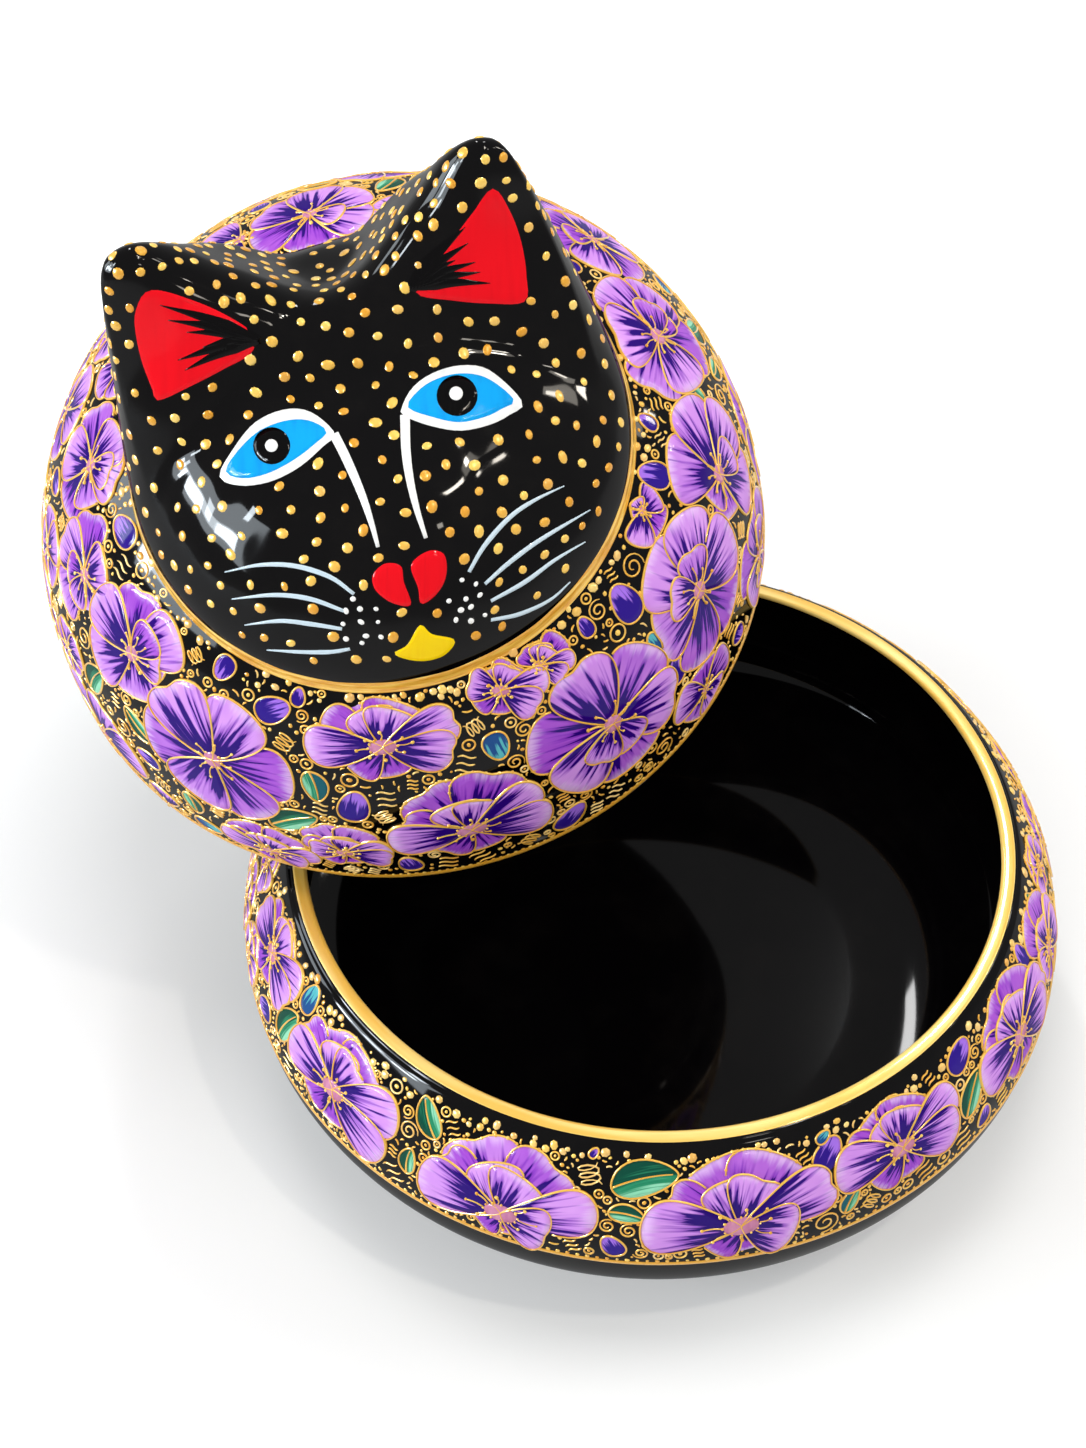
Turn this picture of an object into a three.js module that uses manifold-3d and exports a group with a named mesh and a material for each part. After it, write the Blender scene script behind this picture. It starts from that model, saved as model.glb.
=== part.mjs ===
// Papier mache trinket box: an open bowl, and a domed lid that carries a cat's head, lying off the bowl.
// Millimetres, +Z up, origin at the centre of the bowl's flat underside, -Y towards the photographer.
import * as THREE from "three";
import Module from "manifold-3d";
import { mergeVertices } from "three/addons/utils/BufferGeometryUtils.js";

// Driving dimensions of the bowl
const bowlHeight = 41;
const rimInnerRadius = 55;
const rimWidth = 2.4;
const bulgeBeyondRim = 8.3;
const bulgeBelowRim = 19.4;
const footRadius = 42;
const bowlWall = 2.9;
const floorThickness = 4.5;
const floorRadius = 34;

// Driving dimensions of the lid
const domeHeight = 54;
const domeFullness = 2.45;
const crownWall = 2.8;
const collarClearance = 0.6;
const collarWall = 2.2;
const collarDrop = 4.5;
const collarGrip = 5;
const glueGap = 0.4;

// Driving dimensions of the cat's head, in the lid's own frame (its face looks along -Y)
const seamGap = 0.3;
const headShift = 2.1;
const headForward = 7.7;
const headTurn = 3.4;
const headRadius = 37.4;
const headEdge = 1;
const headLift = 11.2;
const earCornerReach = 2.4;
const napeInset = 5.5;
const earSpread = 27;
const earBack = 18.7;
const earHeight = 30.6;
const earRounding = 6.6;
const earScoop = 2.8;
const muzzleLift = 1.6;
const muzzleForward = 21;
const muzzleWidth = 11;
const muzzleDepth = 9;
const scoopForward = 7.5;
const scoopWidth = 7.5;
const scoopDepth = 5;
const earStub = 5;

// Shares and angles that shape the head: the outline's ear corners and nape, the pad's rounding, the ears' roots
const earCornerTurn = 133;
const earCornerSpan = 22.4;
const napeSpan = 42.6;
const padFullness = 3.2;
const padShoulder = 0.55;
const earRootShare = 0.1;

// The four faces of an ear: how steeply each one falls and which way it looks, outwards and backwards
const earFaces = [
  { slope: 1.53, outward: -0.02, backward: -1 },
  { slope: 1.92, outward: 0.8, backward: -0.6 },
  { slope: 3.28, outward: 0.41, backward: 0.91 },
  { slope: 1.35, outward: -0.76, backward: 0.65 },
];

// Where the lid lies: its plan place, its tilt and the way its face looks
const lidPlaceX = -39;
const lidPlaceY = 42.5;
const lidTilt = 18;
const lidTiltHeading = 246;
const lidBackHeading = 99.6;
const restGap = 0.3;

// Facet counts
const turnSteps = 64;
const wallSteps = 8;
const headSteps = 24;
const headUnderSteps = 8;
const headRingEasing = 1.25;
const contactSteps = 1280;

// Sizes that follow from the driving dimensions
const rimOuterRadius = rimInnerRadius + rimWidth;
const bulgeRadius = rimOuterRadius + bulgeBeyondRim;
const bulgeZ = bowlHeight - bulgeBelowRim;
const lidRadius = rimOuterRadius;
const collarRadius = rimInnerRadius - collarClearance;
const lidHollowRadius = collarRadius + glueGap;
const lidHollowHeight = domeHeight - crownWall;
const earTip = domeHeight + earHeight;
const earSeam = domeHeight + headLift + earStub;
const radians = THREE.MathUtils.degToRad;

const wasm = await Module();
wasm.setup();

const lacquer = {
  bowl: new THREE.MeshStandardMaterial({ color: 0x4b2a78, roughness: 0.25 }),
  dome: new THREE.MeshStandardMaterial({ color: 0x6b3fa8, roughness: 0.25 }),
  black: new THREE.MeshStandardMaterial({ color: 0x0b0a0c, roughness: 0.2 }),
  ear: new THREE.MeshStandardMaterial({ color: 0x16120f, roughness: 0.2 }),
};

// Evenly spaced values from a to b, both ends included.
function spread(a, b, steps) {
  return Array.from({ length: steps + 1 }, (_, i) => a + ((b - a) * i) / steps);
}

// A closed body of revolution about Z from an outline that starts and ends on the axis or closes on itself.
function revolved(outline) {
  const profile = outline.map(([r, z]) => new THREE.Vector2(r, z));
  const shape = new THREE.LatheGeometry(profile, turnSteps);
  shape.rotateX(Math.PI / 2);
  return tidied(shape);
}

function tidied(shape) {
  const bare = new THREE.BufferGeometry();
  bare.setAttribute("position", shape.getAttribute("position"));
  bare.setIndex(shape.index);
  return mergeVertices(bare, 1e-3);
}

function solidOf(shape) {
  const whole = tidied(shape);
  return new wasm.Manifold(
    new wasm.Mesh({
      numProp: 3,
      vertProperties: new Float32Array(whole.getAttribute("position").array),
      triVerts: new Uint32Array(whole.index.array),
    }),
  );
}

function shapeOf(solid) {
  const mesh = solid.getMesh();
  const shape = new THREE.BufferGeometry();
  shape.setAttribute("position", new THREE.BufferAttribute(mesh.vertProperties, mesh.numProp));
  shape.setIndex(new THREE.BufferAttribute(mesh.triVerts, 1));
  return shape;
}

function node(name, shape, material) {
  shape.computeVertexNormals();
  const mesh = new THREE.Mesh(shape, material);
  mesh.name = name;
  return mesh;
}

// The bowl's outer wall: a rounded underside up to the bulge, then a shoulder that leans in to the rim.
function bowlOuter(z) {
  if (z >= bulgeZ) {
    const up = (z - bulgeZ) / bulgeBelowRim;
    return bulgeRadius - bulgeBeyondRim * up * up;
  }
  const down = (bulgeZ - z) / bulgeZ;
  return footRadius + (bulgeRadius - footRadius) * Math.sqrt(1 - down * down);
}

// The height of the bowl's shoulder at a radius between the rim and the bulge.
function shoulderHeight(radius) {
  return bulgeZ + bulgeBelowRim * Math.sqrt((bulgeRadius - radius) / bulgeBeyondRim);
}

// The bowl's inner wall: it follows the shoulder, then sweeps in one fillet to the flat floor.
function bowlInner(z) {
  const widest = bulgeRadius - bowlWall;
  if (z >= bulgeZ) {
    const up = (z - bulgeZ) / bulgeBelowRim;
    return widest - (widest - rimInnerRadius) * up * up;
  }
  const down = (bulgeZ - z) / (bulgeZ - floorThickness);
  return floorRadius + (widest - floorRadius) * Math.sqrt(Math.max(0, 1 - down * down));
}

function bowlShape() {
  const sweep = (a, b, steps, wall) => spread(a, b, steps).map((z) => [wall(z), z]);
  const outerLow = spread(0, Math.PI / 2, wallSteps).map((a) => {
    const z = bulgeZ * (1 - Math.cos(a));
    return [bowlOuter(z), z];
  });
  const innerLow = spread(Math.PI / 2, 0, wallSteps).map((a) => {
    const z = floorThickness + (bulgeZ - floorThickness) * (1 - Math.cos(a));
    return [bowlInner(z), z];
  });
  return revolved([
    [0, 0],
    ...outerLow,
    ...sweep(bulgeZ, bowlHeight, wallSteps, bowlOuter).slice(1),
    ...sweep(bowlHeight, bulgeZ, wallSteps, bowlInner),
    ...innerLow.slice(1),
    [0, floorThickness],
  ]);
}

// A rounded dome's height over a point that is r from its axis.
function domeAt(r, radius, height) {
  const out = Math.min(1, r / radius);
  return height * Math.pow(1 - Math.pow(out, domeFullness), 1 / domeFullness);
}

function domeProfile(radius, height) {
  return spread(0, Math.PI / 2, 2 * wallSteps).map((a) => {
    const r = radius * Math.pow(Math.cos(a), 2 / domeFullness);
    const z = height * Math.pow(Math.sin(a), 2 / domeFullness);
    return a === Math.PI / 2 ? [0, height] : [r, z];
  });
}

function domeShape() {
  const outside = domeProfile(lidRadius, domeHeight);
  const inside = domeProfile(lidHollowRadius, lidHollowHeight).toReversed();
  return revolved([...outside, ...inside, outside[0]]);
}

// The plain ring glued inside the lid's edge; its lower end drops into the bowl's mouth.
function collarShape() {
  const bore = collarRadius - collarWall;
  const ring = [
    [collarRadius, -collarDrop],
    [collarRadius, collarGrip],
    [bore, collarGrip],
    [bore, -collarDrop],
    [collarRadius, -collarDrop],
  ];
  return revolved(ring);
}

// Rounded versions of min and max, with a fillet of about the given size.
function softMin(a, b, fillet) {
  const near = Math.max(fillet - Math.abs(a - b), 0) / fillet;
  return Math.min(a, b) - (near * near * fillet) / 4;
}

function softMax(a, b, fillet) {
  return -softMin(-a, -b, fillet);
}

// A smooth hump, 1 in its middle and near 0 beyond about twice its width.
function hump(across, along = 0) {
  return Math.exp(-across * across - along * along);
}

// How far the head's outline lies from the head's middle; angle 0 is the chin and 180 the nape.
function headReach(angle) {
  const turn = Math.abs(THREE.MathUtils.radToDeg(angle));
  const ears = earCornerReach * hump((turn - earCornerTurn) / earCornerSpan);
  const nape = napeInset * hump((turn - 180) / napeSpan);
  return headRadius + ears - nape;
}

// One ear as a four-sided peak with rounded ridges and a scooped front.
function earAt(side, x, y) {
  const out = side * x - earSpread;
  const back = y - earBack;
  const top = earTip + earRounding / 2;
  const [front, outer, rear, inner] = earFaces.map(
    (face) => top - face.slope * (out * face.outward + back * face.backward),
  );
  const peak = softMin(
    softMin(front, outer, earRounding),
    softMin(rear, inner, earRounding),
    earRounding,
  );
  return peak - earScoop * hump(out / scoopWidth, (back + scoopForward) / scoopDepth);
}

// The head's upper surface over the lid plane: a raised pad that follows the dome, a muzzle and two ears.
// x and y run from the head's middle along its own turned axes.
function headAt(x, y, dome) {
  const angle = Math.atan2(x, -y);
  const out = Math.hypot(x, y) / headReach(angle);
  const rise = Math.pow(Math.max(0, 1 - Math.pow(out, padFullness)), padShoulder);
  const muzzle = muzzleLift * hump(x / muzzleWidth, (y + muzzleForward) / muzzleDepth);
  const pad = dome + headEdge + (headLift - headEdge + muzzle) * rise;
  const fade = Math.sqrt(THREE.MathUtils.clamp((1 - out) / earRootShare, 0, 1));
  const tallest = Math.max(earAt(1, x, y), earAt(-1, x, y));
  const ear = dome + headEdge + (tallest - dome - headEdge) * fade;
  return softMax(pad, ear, earRounding);
}

// A closed body between the head's surface and the dome under it, on rings about the head's middle.
function headShape() {
  const turn = radians(headTurn);
  const places = [];
  const triangles = [];
  const angles = spread(0, 2 * Math.PI, turnSteps).slice(0, turnSteps);
  const corner = (ring, i, upper) => {
    const angle = angles[i] > Math.PI ? angles[i] - 2 * Math.PI : angles[i];
    const reach = ring * headReach(angle);
    const x = reach * Math.sin(angle);
    const y = -reach * Math.cos(angle);
    const lidX = headShift + x * Math.cos(turn) - y * Math.sin(turn);
    const lidY = -headForward + x * Math.sin(turn) + y * Math.cos(turn);
    const dome = domeAt(Math.hypot(lidX, lidY), lidRadius, domeHeight);
    places.push(lidX, lidY, upper ? headAt(x, y, dome) : dome + seamGap);
    return places.length / 3 - 1;
  };
  const layer = (steps, upper) => {
    const face = (a, b, c) => triangles.push(...(upper ? [a, b, c] : [a, c, b]));
    const middle = corner(0, 0, upper);
    const rings = spread(0, 1, steps)
      .slice(1)
      .map((k) => 1 - Math.pow(1 - k, headRingEasing))
      .map((ring) => angles.map((_, i) => corner(ring, i, upper)));
    rings.forEach((ring, level) => {
      ring.forEach((outer, i) => {
        const next = (i + 1) % turnSteps;
        if (level === 0) {
          face(middle, outer, ring[next]);
          return;
        }
        face(rings[level - 1][i], outer, ring[next]);
        face(rings[level - 1][i], ring[next], rings[level - 1][next]);
      });
    });
    return rings.at(-1);
  };
  const top = layer(headSteps, true);
  const under = layer(headUnderSteps, false);
  top.forEach((corner, i) => {
    const next = (i + 1) % turnSteps;
    triangles.push(corner, under[i], under[next]);
    triangles.push(corner, under[next], top[next]);
  });
  const shape = new THREE.BufferGeometry();
  shape.setAttribute("position", new THREE.BufferAttribute(new Float32Array(places), 3));
  shape.setIndex(triangles);
  return shape;
}

// A block that holds everything above a height on one side of the lid's middle plane, or on both sides.
function above(height, low, high) {
  const block = new THREE.BoxGeometry(high - low, 4 * lidRadius, 4 * lidRadius);
  block.translate((low + high) / 2, 0, height + 2 * lidRadius);
  return solidOf(block);
}

// The lid's axes in the row frame: sideways, towards the nape, and up along the dome's axis.
function lidAxes() {
  const lean = Math.sin(radians(lidTilt));
  const heading = radians(lidTiltHeading);
  const up = new THREE.Vector3(
    lean * Math.cos(heading),
    lean * Math.sin(heading),
    Math.cos(radians(lidTilt)),
  );
  const nape = radians(lidBackHeading);
  const back = new THREE.Vector3(Math.cos(nape), Math.sin(nape), 0);
  back.addScaledVector(up, -back.dot(up)).normalize();
  const side = new THREE.Vector3().crossVectors(back, up);
  return { side, back, up };
}

// The lid comes to rest where its edge or its collar first meets the bowl's rim or shoulder.
function restHeight({ side, back, up }) {
  const rings = [
    [lidRadius, 0],
    [lidHollowRadius, 0],
    [collarRadius, -collarDrop],
    [collarRadius - collarWall, -collarDrop],
  ];
  let height = 0;
  for (const [radius, drop] of rings) {
    for (const angle of spread(0, 2 * Math.PI, contactSteps)) {
      const point = new THREE.Vector3()
        .addScaledVector(side, radius * Math.cos(angle))
        .addScaledVector(back, radius * Math.sin(angle))
        .addScaledVector(up, drop);
      const reach = Math.hypot(lidPlaceX + point.x, lidPlaceY + point.y);
      if (reach < rimInnerRadius - restGap || reach > bulgeRadius) continue;
      const under = reach > rimOuterRadius ? shoulderHeight(reach) : bowlHeight;
      height = Math.max(height, under + restGap - point.z);
    }
  }
  return height;
}

const wholeHead = solidOf(headShape());
const overSeam = above(earSeam - seamGap / 2, -2 * lidRadius, 2 * lidRadius);
const earSide = {
  ear_left: above(earSeam + seamGap / 2, -2 * lidRadius, headShift),
  ear_right: above(earSeam + seamGap / 2, headShift, 2 * lidRadius),
};

const lid = new THREE.Group();
lid.add(node("lid_dome", domeShape(), lacquer.dome));
lid.add(node("lid_collar", collarShape(), lacquer.black));
lid.add(node("cat_head", shapeOf(wholeHead.subtract(overSeam)), lacquer.black));
for (const [name, block] of Object.entries(earSide)) {
  lid.add(node(name, shapeOf(wholeHead.intersect(block)), lacquer.ear));
}
const axes = lidAxes();
lid.quaternion.setFromRotationMatrix(new THREE.Matrix4().makeBasis(axes.side, axes.back, axes.up));
lid.position.set(lidPlaceX, lidPlaceY, restHeight(axes));

const box = new THREE.Group();
box.add(node("base_bowl", bowlShape(), lacquer.bowl));
box.add(lid);

export default box;
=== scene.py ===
# Looks of the papier mache trinket box: painted lacquer over the imported bowl and lid.
# Lengths are millimetres in each surface's own frame until a mesh is made, and metres after that.
# The bowl's own frame is the box's frame; the lid has a frame of its own.
import math

import bpy
import numpy as np
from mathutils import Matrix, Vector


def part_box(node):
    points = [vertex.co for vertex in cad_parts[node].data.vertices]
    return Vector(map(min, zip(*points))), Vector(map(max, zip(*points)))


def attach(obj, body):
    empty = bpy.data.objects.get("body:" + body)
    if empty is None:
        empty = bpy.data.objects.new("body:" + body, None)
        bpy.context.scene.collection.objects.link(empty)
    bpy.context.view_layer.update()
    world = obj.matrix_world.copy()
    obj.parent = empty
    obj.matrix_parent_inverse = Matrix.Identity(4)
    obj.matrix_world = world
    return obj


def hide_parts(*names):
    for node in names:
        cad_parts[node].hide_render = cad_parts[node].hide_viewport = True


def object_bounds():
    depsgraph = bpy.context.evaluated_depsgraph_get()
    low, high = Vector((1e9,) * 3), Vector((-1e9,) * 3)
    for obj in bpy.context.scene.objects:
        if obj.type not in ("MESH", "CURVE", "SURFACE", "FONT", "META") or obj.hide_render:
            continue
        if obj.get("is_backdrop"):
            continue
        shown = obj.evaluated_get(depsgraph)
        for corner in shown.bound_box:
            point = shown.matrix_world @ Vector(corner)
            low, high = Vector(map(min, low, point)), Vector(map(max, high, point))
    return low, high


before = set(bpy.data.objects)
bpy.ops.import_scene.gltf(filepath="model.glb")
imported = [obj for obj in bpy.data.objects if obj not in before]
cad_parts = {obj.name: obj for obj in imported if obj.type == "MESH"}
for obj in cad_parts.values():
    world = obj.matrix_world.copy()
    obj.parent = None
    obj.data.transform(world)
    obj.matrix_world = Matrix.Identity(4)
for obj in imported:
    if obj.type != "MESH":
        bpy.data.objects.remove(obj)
cad_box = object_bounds()

MM = 0.001
dice = np.random.default_rng(7)

# How closely points are brought onto a surface
slope_reach = 0.08
settle_nudge = 0.05
settle_least_slope = 0.15
settle_longest_step = 2.0
ray_near = 300.0
ray_far = 640.0
ray_steps = 240
ray_halvings = 16
tiny = 1e-9

# Sizes of the bowl
bowl_height = 41.0
rim_inner_radius = 55.0
rim_outer_radius = 57.4
bulge_radius = 65.7
bulge_beyond_rim = 8.3
bulge_below_rim = 19.4
bulge_height = 21.6
foot_radius = 42.0
bowl_wall = 2.9
floor_thickness = 4.5
floor_radius = 34.0

# Sizes of the lid
lid_radius = 57.4
dome_height = 54.0
dome_fullness = 2.45
hollow_radius = 54.8
hollow_height = 51.2
collar_radius = 54.4
collar_wall = 2.2
collar_drop = 4.5
collar_grip = 5.0

# Sizes of the cat's head, in the lid's frame
head_shift = 2.1
head_forward = 7.7
head_turn = math.radians(3.4)
head_radius = 37.4
head_edge = 1.0
head_lift = 11.2
ear_corner_reach = 2.4
ear_corner_turn = 133.0
ear_corner_span = 22.4
nape_inset = 5.5
nape_span = 42.6
chin_inset = 1.4
chin_turn = 20.0
chin_span = 60.0
pad_fullness = 3.2
pad_shoulder = 0.55
ear_root_share = 0.1
ear_spread = 27.0
ear_back = 18.7
ear_height = 30.6
ear_rounding = 6.6
ear_roll = 15.0
ear_rise = 1.35
brow_crease = 2.4
wave_height = 0.03
# The waves of the head's skin: direction in degrees, length in millimetres, and start
wave_kinds = ((10, 7.0, 0.3), (75, 8.5, 1.9), (130, 6.1, 4.0), (40, 11.0, 2.2), (160, 9.3, 5.1))
ear_saddle = 12.0
ear_tip_lift = 3.2
ear_tip_span = 6.5
ear_scoop = 2.8
scoop_forward = 7.5
scoop_width = 7.5
scoop_depth = 5.0
muzzle_lift = 1.6
muzzle_forward = 21.0
muzzle_width = 11.0
muzzle_depth = 9.0
# An ear's four slopes: steepness, and the way each falls, outwards and backwards
ear_faces = {
    "front": (1.53, -0.02, -1.0),
    "outer": (1.92, 0.8, -0.6),
    "rear": (3.28, 0.41, 0.91),
    "inner": (1.35, -0.76, 0.65),
}

# How the lid lies
lid_tilt = math.radians(18)
lid_tilt_heading = math.radians(246)
lid_back_heading = math.radians(99.6)
lid_place_x = -39.0
lid_place_y = 42.5


def unit(vector):
    return vector / np.linalg.norm(vector)


lid_up = np.array(
    [
        math.sin(lid_tilt) * math.cos(lid_tilt_heading),
        math.sin(lid_tilt) * math.sin(lid_tilt_heading),
        math.cos(lid_tilt),
    ]
)
nape_way = np.array([math.cos(lid_back_heading), math.sin(lid_back_heading), 0.0])
lid_back = unit(nape_way - lid_up * (nape_way @ lid_up))
lid_side = np.cross(lid_back, lid_up)
lid_axes = np.stack([lid_side, lid_back, lid_up])
collar_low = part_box("lid_collar")[0].z / MM
lid_rise = collar_radius * math.sin(lid_tilt) + collar_drop * math.cos(lid_tilt)
lid_place = np.array([lid_place_x, lid_place_y, collar_low + lid_rise])


def lid_to_box(points):
    return lid_place + points @ lid_axes


def box_to_lid(points):
    return (points - lid_place) @ lid_axes.T


def as_is(points):
    return points


# The camera that took the photograph, fitted to the bowl's rim
photo_width = 1086
photo_height = 1448
focal_pixels = 3000.0
camera_fall = math.radians(49.83)
camera_distance = 475.2
camera_right = -17.435
camera_up = 17.49
camera_ahead_way = np.array([0.0, math.cos(camera_fall), -math.sin(camera_fall)])
camera_up_way = np.array([0.0, math.sin(camera_fall), math.cos(camera_fall)])
camera_right_way = np.array([1.0, 0.0, 0.0])
camera_place = (
    np.array([0.0, 0.0, bowl_height])
    - camera_ahead_way * camera_distance
    + camera_right_way * camera_right
    + camera_up_way * camera_up
)
# A board's second axis points up, and a photograph's points down
photo_to_board = np.array([1.0, -1.0])


def photo_rays(pixels):
    """Unit directions from the camera through points of the photograph."""
    pixels = np.atleast_2d(np.asarray(pixels, float))
    across = (pixels[:, :1] - photo_width / 2) / focal_pixels
    down = (pixels[:, 1:] - photo_height / 2) / focal_pixels
    rays = camera_ahead_way + across * camera_right_way - down * camera_up_way
    return rays / np.linalg.norm(rays, axis=1, keepdims=True)


def photo_pixels(box_points):
    """Where points of the box's frame show in the photograph."""
    away = box_points - camera_place
    depth = away @ camera_ahead_way
    across = photo_width / 2 + focal_pixels * (away @ camera_right_way) / depth
    down = photo_height / 2 - focal_pixels * (away @ camera_up_way) / depth
    return np.stack([across, down], 1)


# Surfaces: each level function is about the distance outside its surface


def bowl_outer(height):
    """Radius of the bowl's outside at a height."""
    up = np.clip((height - bulge_height) / bulge_below_rim, 0, 1)
    down = np.clip((bulge_height - height) / bulge_height, 0, 1)
    lower = foot_radius + (bulge_radius - foot_radius) * np.sqrt(1 - down**2)
    return np.where(height >= bulge_height, bulge_radius - bulge_beyond_rim * up**2, lower)


def bowl_inner(height):
    """Radius of the bowl's inside at a height."""
    widest = bulge_radius - bowl_wall
    up = np.clip((height - bulge_height) / bulge_below_rim, 0, 1)
    down = np.clip((bulge_height - height) / (bulge_height - floor_thickness), 0, 1)
    lower = floor_radius + (widest - floor_radius) * np.sqrt(1 - down**2)
    return np.where(height >= bulge_height, widest - (widest - rim_inner_radius) * up**2, lower)


def bowl_level(points):
    return np.hypot(points[:, 0], points[:, 1]) - bowl_outer(points[:, 2])


def dome_level(points):
    out = np.hypot(points[:, 0], points[:, 1]) / lid_radius
    up = np.maximum(points[:, 2], 0) / dome_height
    return lid_radius * ((out**dome_fullness + up**dome_fullness) ** (1 / dome_fullness) - 1)


def dome_top(x, y):
    """Height of the dome over a point of the lid plane."""
    out = np.minimum(np.hypot(x, y) / lid_radius, 1)
    return dome_height * (1 - out**dome_fullness) ** (1 / dome_fullness)


def soft_min(a, b, fillet):
    """The lower of two heights, with a fillet where they meet."""
    near = np.maximum(fillet - np.abs(a - b), 0) / fillet
    return np.minimum(a, b) - near * near * fillet / 4


def soft_max(a, b, fillet):
    """The higher of two heights, with a fillet where they meet."""
    return -soft_min(-a, -b, fillet)


def hump(across, along=0.0):
    """A smooth bump: 1 in its middle, and nearly 0 at a distance of 2."""
    return np.exp(-(across**2) - along**2)


def head_reach(turn):
    """How far the head's outline is from its middle, by the turn from the chin."""
    degrees = np.abs(np.degrees(turn))
    ears = ear_corner_reach * hump((degrees - ear_corner_turn) / ear_corner_span)
    nape = nape_inset * hump((degrees - 180) / nape_span)
    chin = chin_inset * hump((np.degrees(turn) - chin_turn) / chin_span)
    return head_radius + ears - nape - chin


def ear_top(side, x, y):
    """Height of one ear: four slopes that meet in a rounded tip, scooped out in front."""
    out = side * x - ear_spread
    back = y - ear_back
    peak = dome_height + ear_height + ear_rounding / 2 + ear_rise
    falls = {
        name: peak - slope * (out * outward + back * backward)
        for name, (slope, outward, backward) in ear_faces.items()
    }
    fore = soft_min(falls["front"], falls["outer"], ear_roll)
    aft = soft_min(falls["rear"], falls["inner"], ear_roll)
    scoop = ear_scoop * hump(out / scoop_width, (back + scoop_forward) / scoop_depth)
    tip = ear_tip_lift * hump(out / ear_tip_span, back / ear_tip_span)
    return soft_min(fore, aft, ear_roll) + tip - scoop


def head_to_lid(x, y):
    """A point of the turned and shifted head, in the lid plane."""
    lid_x = head_shift + x * math.cos(head_turn) - y * math.sin(head_turn)
    lid_y = -head_forward + x * math.sin(head_turn) + y * math.cos(head_turn)
    return lid_x, lid_y


def lid_to_head(lid_x, lid_y):
    """A point of the lid plane, as the turned and shifted head has it."""
    across = lid_x - head_shift
    along = lid_y + head_forward
    x = across * math.cos(head_turn) + along * math.sin(head_turn)
    y = -across * math.sin(head_turn) + along * math.cos(head_turn)
    return x, y


def round_head(reach, turns):
    """Points of the lid plane round the head, by their distance from its middle and turn from the chin."""
    return head_to_lid(reach * np.sin(turns), -reach * np.cos(turns))


def chin_turns(count):
    """Angles of evenly spaced points round the head."""
    return np.linspace(-math.pi, math.pi, count, endpoint=False)


def head_share(lid_x, lid_y):
    """How far out from the head's middle a point of the lid plane is: 1 on the head's outline."""
    x, y = lid_to_head(lid_x, lid_y)
    return np.hypot(x, y) / head_reach(np.arctan2(x, -y))


def hand_waves(x, y):
    """The slight unevenness of pulp rubbed down by hand under the lacquer."""
    waves = 0.0
    for turn, length, start in wave_kinds:
        along = x * math.cos(math.radians(turn)) + y * math.sin(math.radians(turn))
        waves = waves + np.sin(along * 2 * math.pi / length + start)
    return wave_height * waves


def head_top(lid_x, lid_y):
    """Height of the head: a pad with a muzzle on the dome, and the ears that grow out of it."""
    x, y = lid_to_head(lid_x, lid_y)
    out = head_share(lid_x, lid_y)
    dome = dome_top(lid_x, lid_y)
    rise = np.maximum(0, 1 - out**pad_fullness) ** pad_shoulder
    muzzle = muzzle_lift * hump(x / muzzle_width, (y + muzzle_forward) / muzzle_depth)
    pad = dome + head_edge + (head_lift - head_edge + muzzle) * rise
    fade = np.sqrt(np.clip((1 - out) / ear_root_share, 0, 1))
    tallest = soft_max(ear_top(1, x, y), ear_top(-1, x, y), ear_saddle)
    ear = dome + head_edge + (tallest - dome - head_edge) * fade
    return soft_max(pad, ear, brow_crease) + hand_waves(x, y)


def head_level(points):
    over = np.where(
        head_share(points[:, 0], points[:, 1]) < 1,
        head_top(points[:, 0], points[:, 1]),
        dome_top(points[:, 0], points[:, 1]),
    )
    return points[:, 2] - over


def normals_of(level, points):
    """Which way is straight out of a surface at points near it."""
    slopes = []
    for axis in np.eye(3) * slope_reach:
        slopes.append(level(points + axis) - level(points - axis))
    slopes = np.stack(slopes, 1)
    return slopes / np.maximum(np.linalg.norm(slopes, axis=1, keepdims=True), tiny)


def settled(level, points, way, steps=14):
    """Points moved along a direction until they lie on the surface."""
    for _ in range(steps):
        here = level(points)
        slope = (level(points + way * settle_nudge) - here) / settle_nudge
        slope = np.where(np.abs(slope) < settle_least_slope, settle_least_slope, slope)
        step = np.clip(here / slope, -settle_longest_step, settle_longest_step)
        points = points - step[:, None] * way
    return points


class Surface:
    """One painted body: its level function, its frame and the body that carries it."""

    def __init__(self, level, to_box, from_box, body):
        self.level = level
        self.to_box = to_box
        self.from_box = from_box
        self.body = body

    def under_pixels(self, pixels):
        """Where rays through points of the photograph first meet the surface."""
        rays = photo_rays(pixels)
        start = self.from_box(camera_place[None])
        ways = self.from_box(camera_place + rays) - start
        depths = np.linspace(ray_near, ray_far, ray_steps)
        before = np.full(len(rays), ray_near)
        after = np.full(len(rays), ray_far)
        found = np.zeros(len(rays), bool)
        for low, high in zip(depths[:-1], depths[1:]):
            hit = (self.level(start + ways * high) < 0) & ~found
            before[hit] = low
            after[hit] = high
            found |= hit
        for _ in range(ray_halvings):
            middle = (before + after) / 2
            inside = self.level(start + ways * middle[:, None]) < 0
            after = np.where(inside, middle, after)
            before = np.where(inside, before, middle)
        return start + ways * after[:, None]

    def lifted(self, points, lift):
        """Points of the surface, moved straight out from it."""
        return points + normals_of(self.level, points) * np.reshape(lift, (-1, 1))

    def spot(self, point, turn=0.0):
        """A drawing board that touches the surface at a point, with its up side towards the top."""
        point = np.asarray(point, float)
        out = normals_of(self.level, point[None])[0]
        up = np.array([0.0, 0.0, 1.0])
        up = unit(up - out * (up @ out))
        side = np.cross(up, out)
        spun_up = up * math.cos(turn) + side * math.sin(turn)
        return Spot(self, point, np.cross(spun_up, out), spun_up, out)


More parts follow.
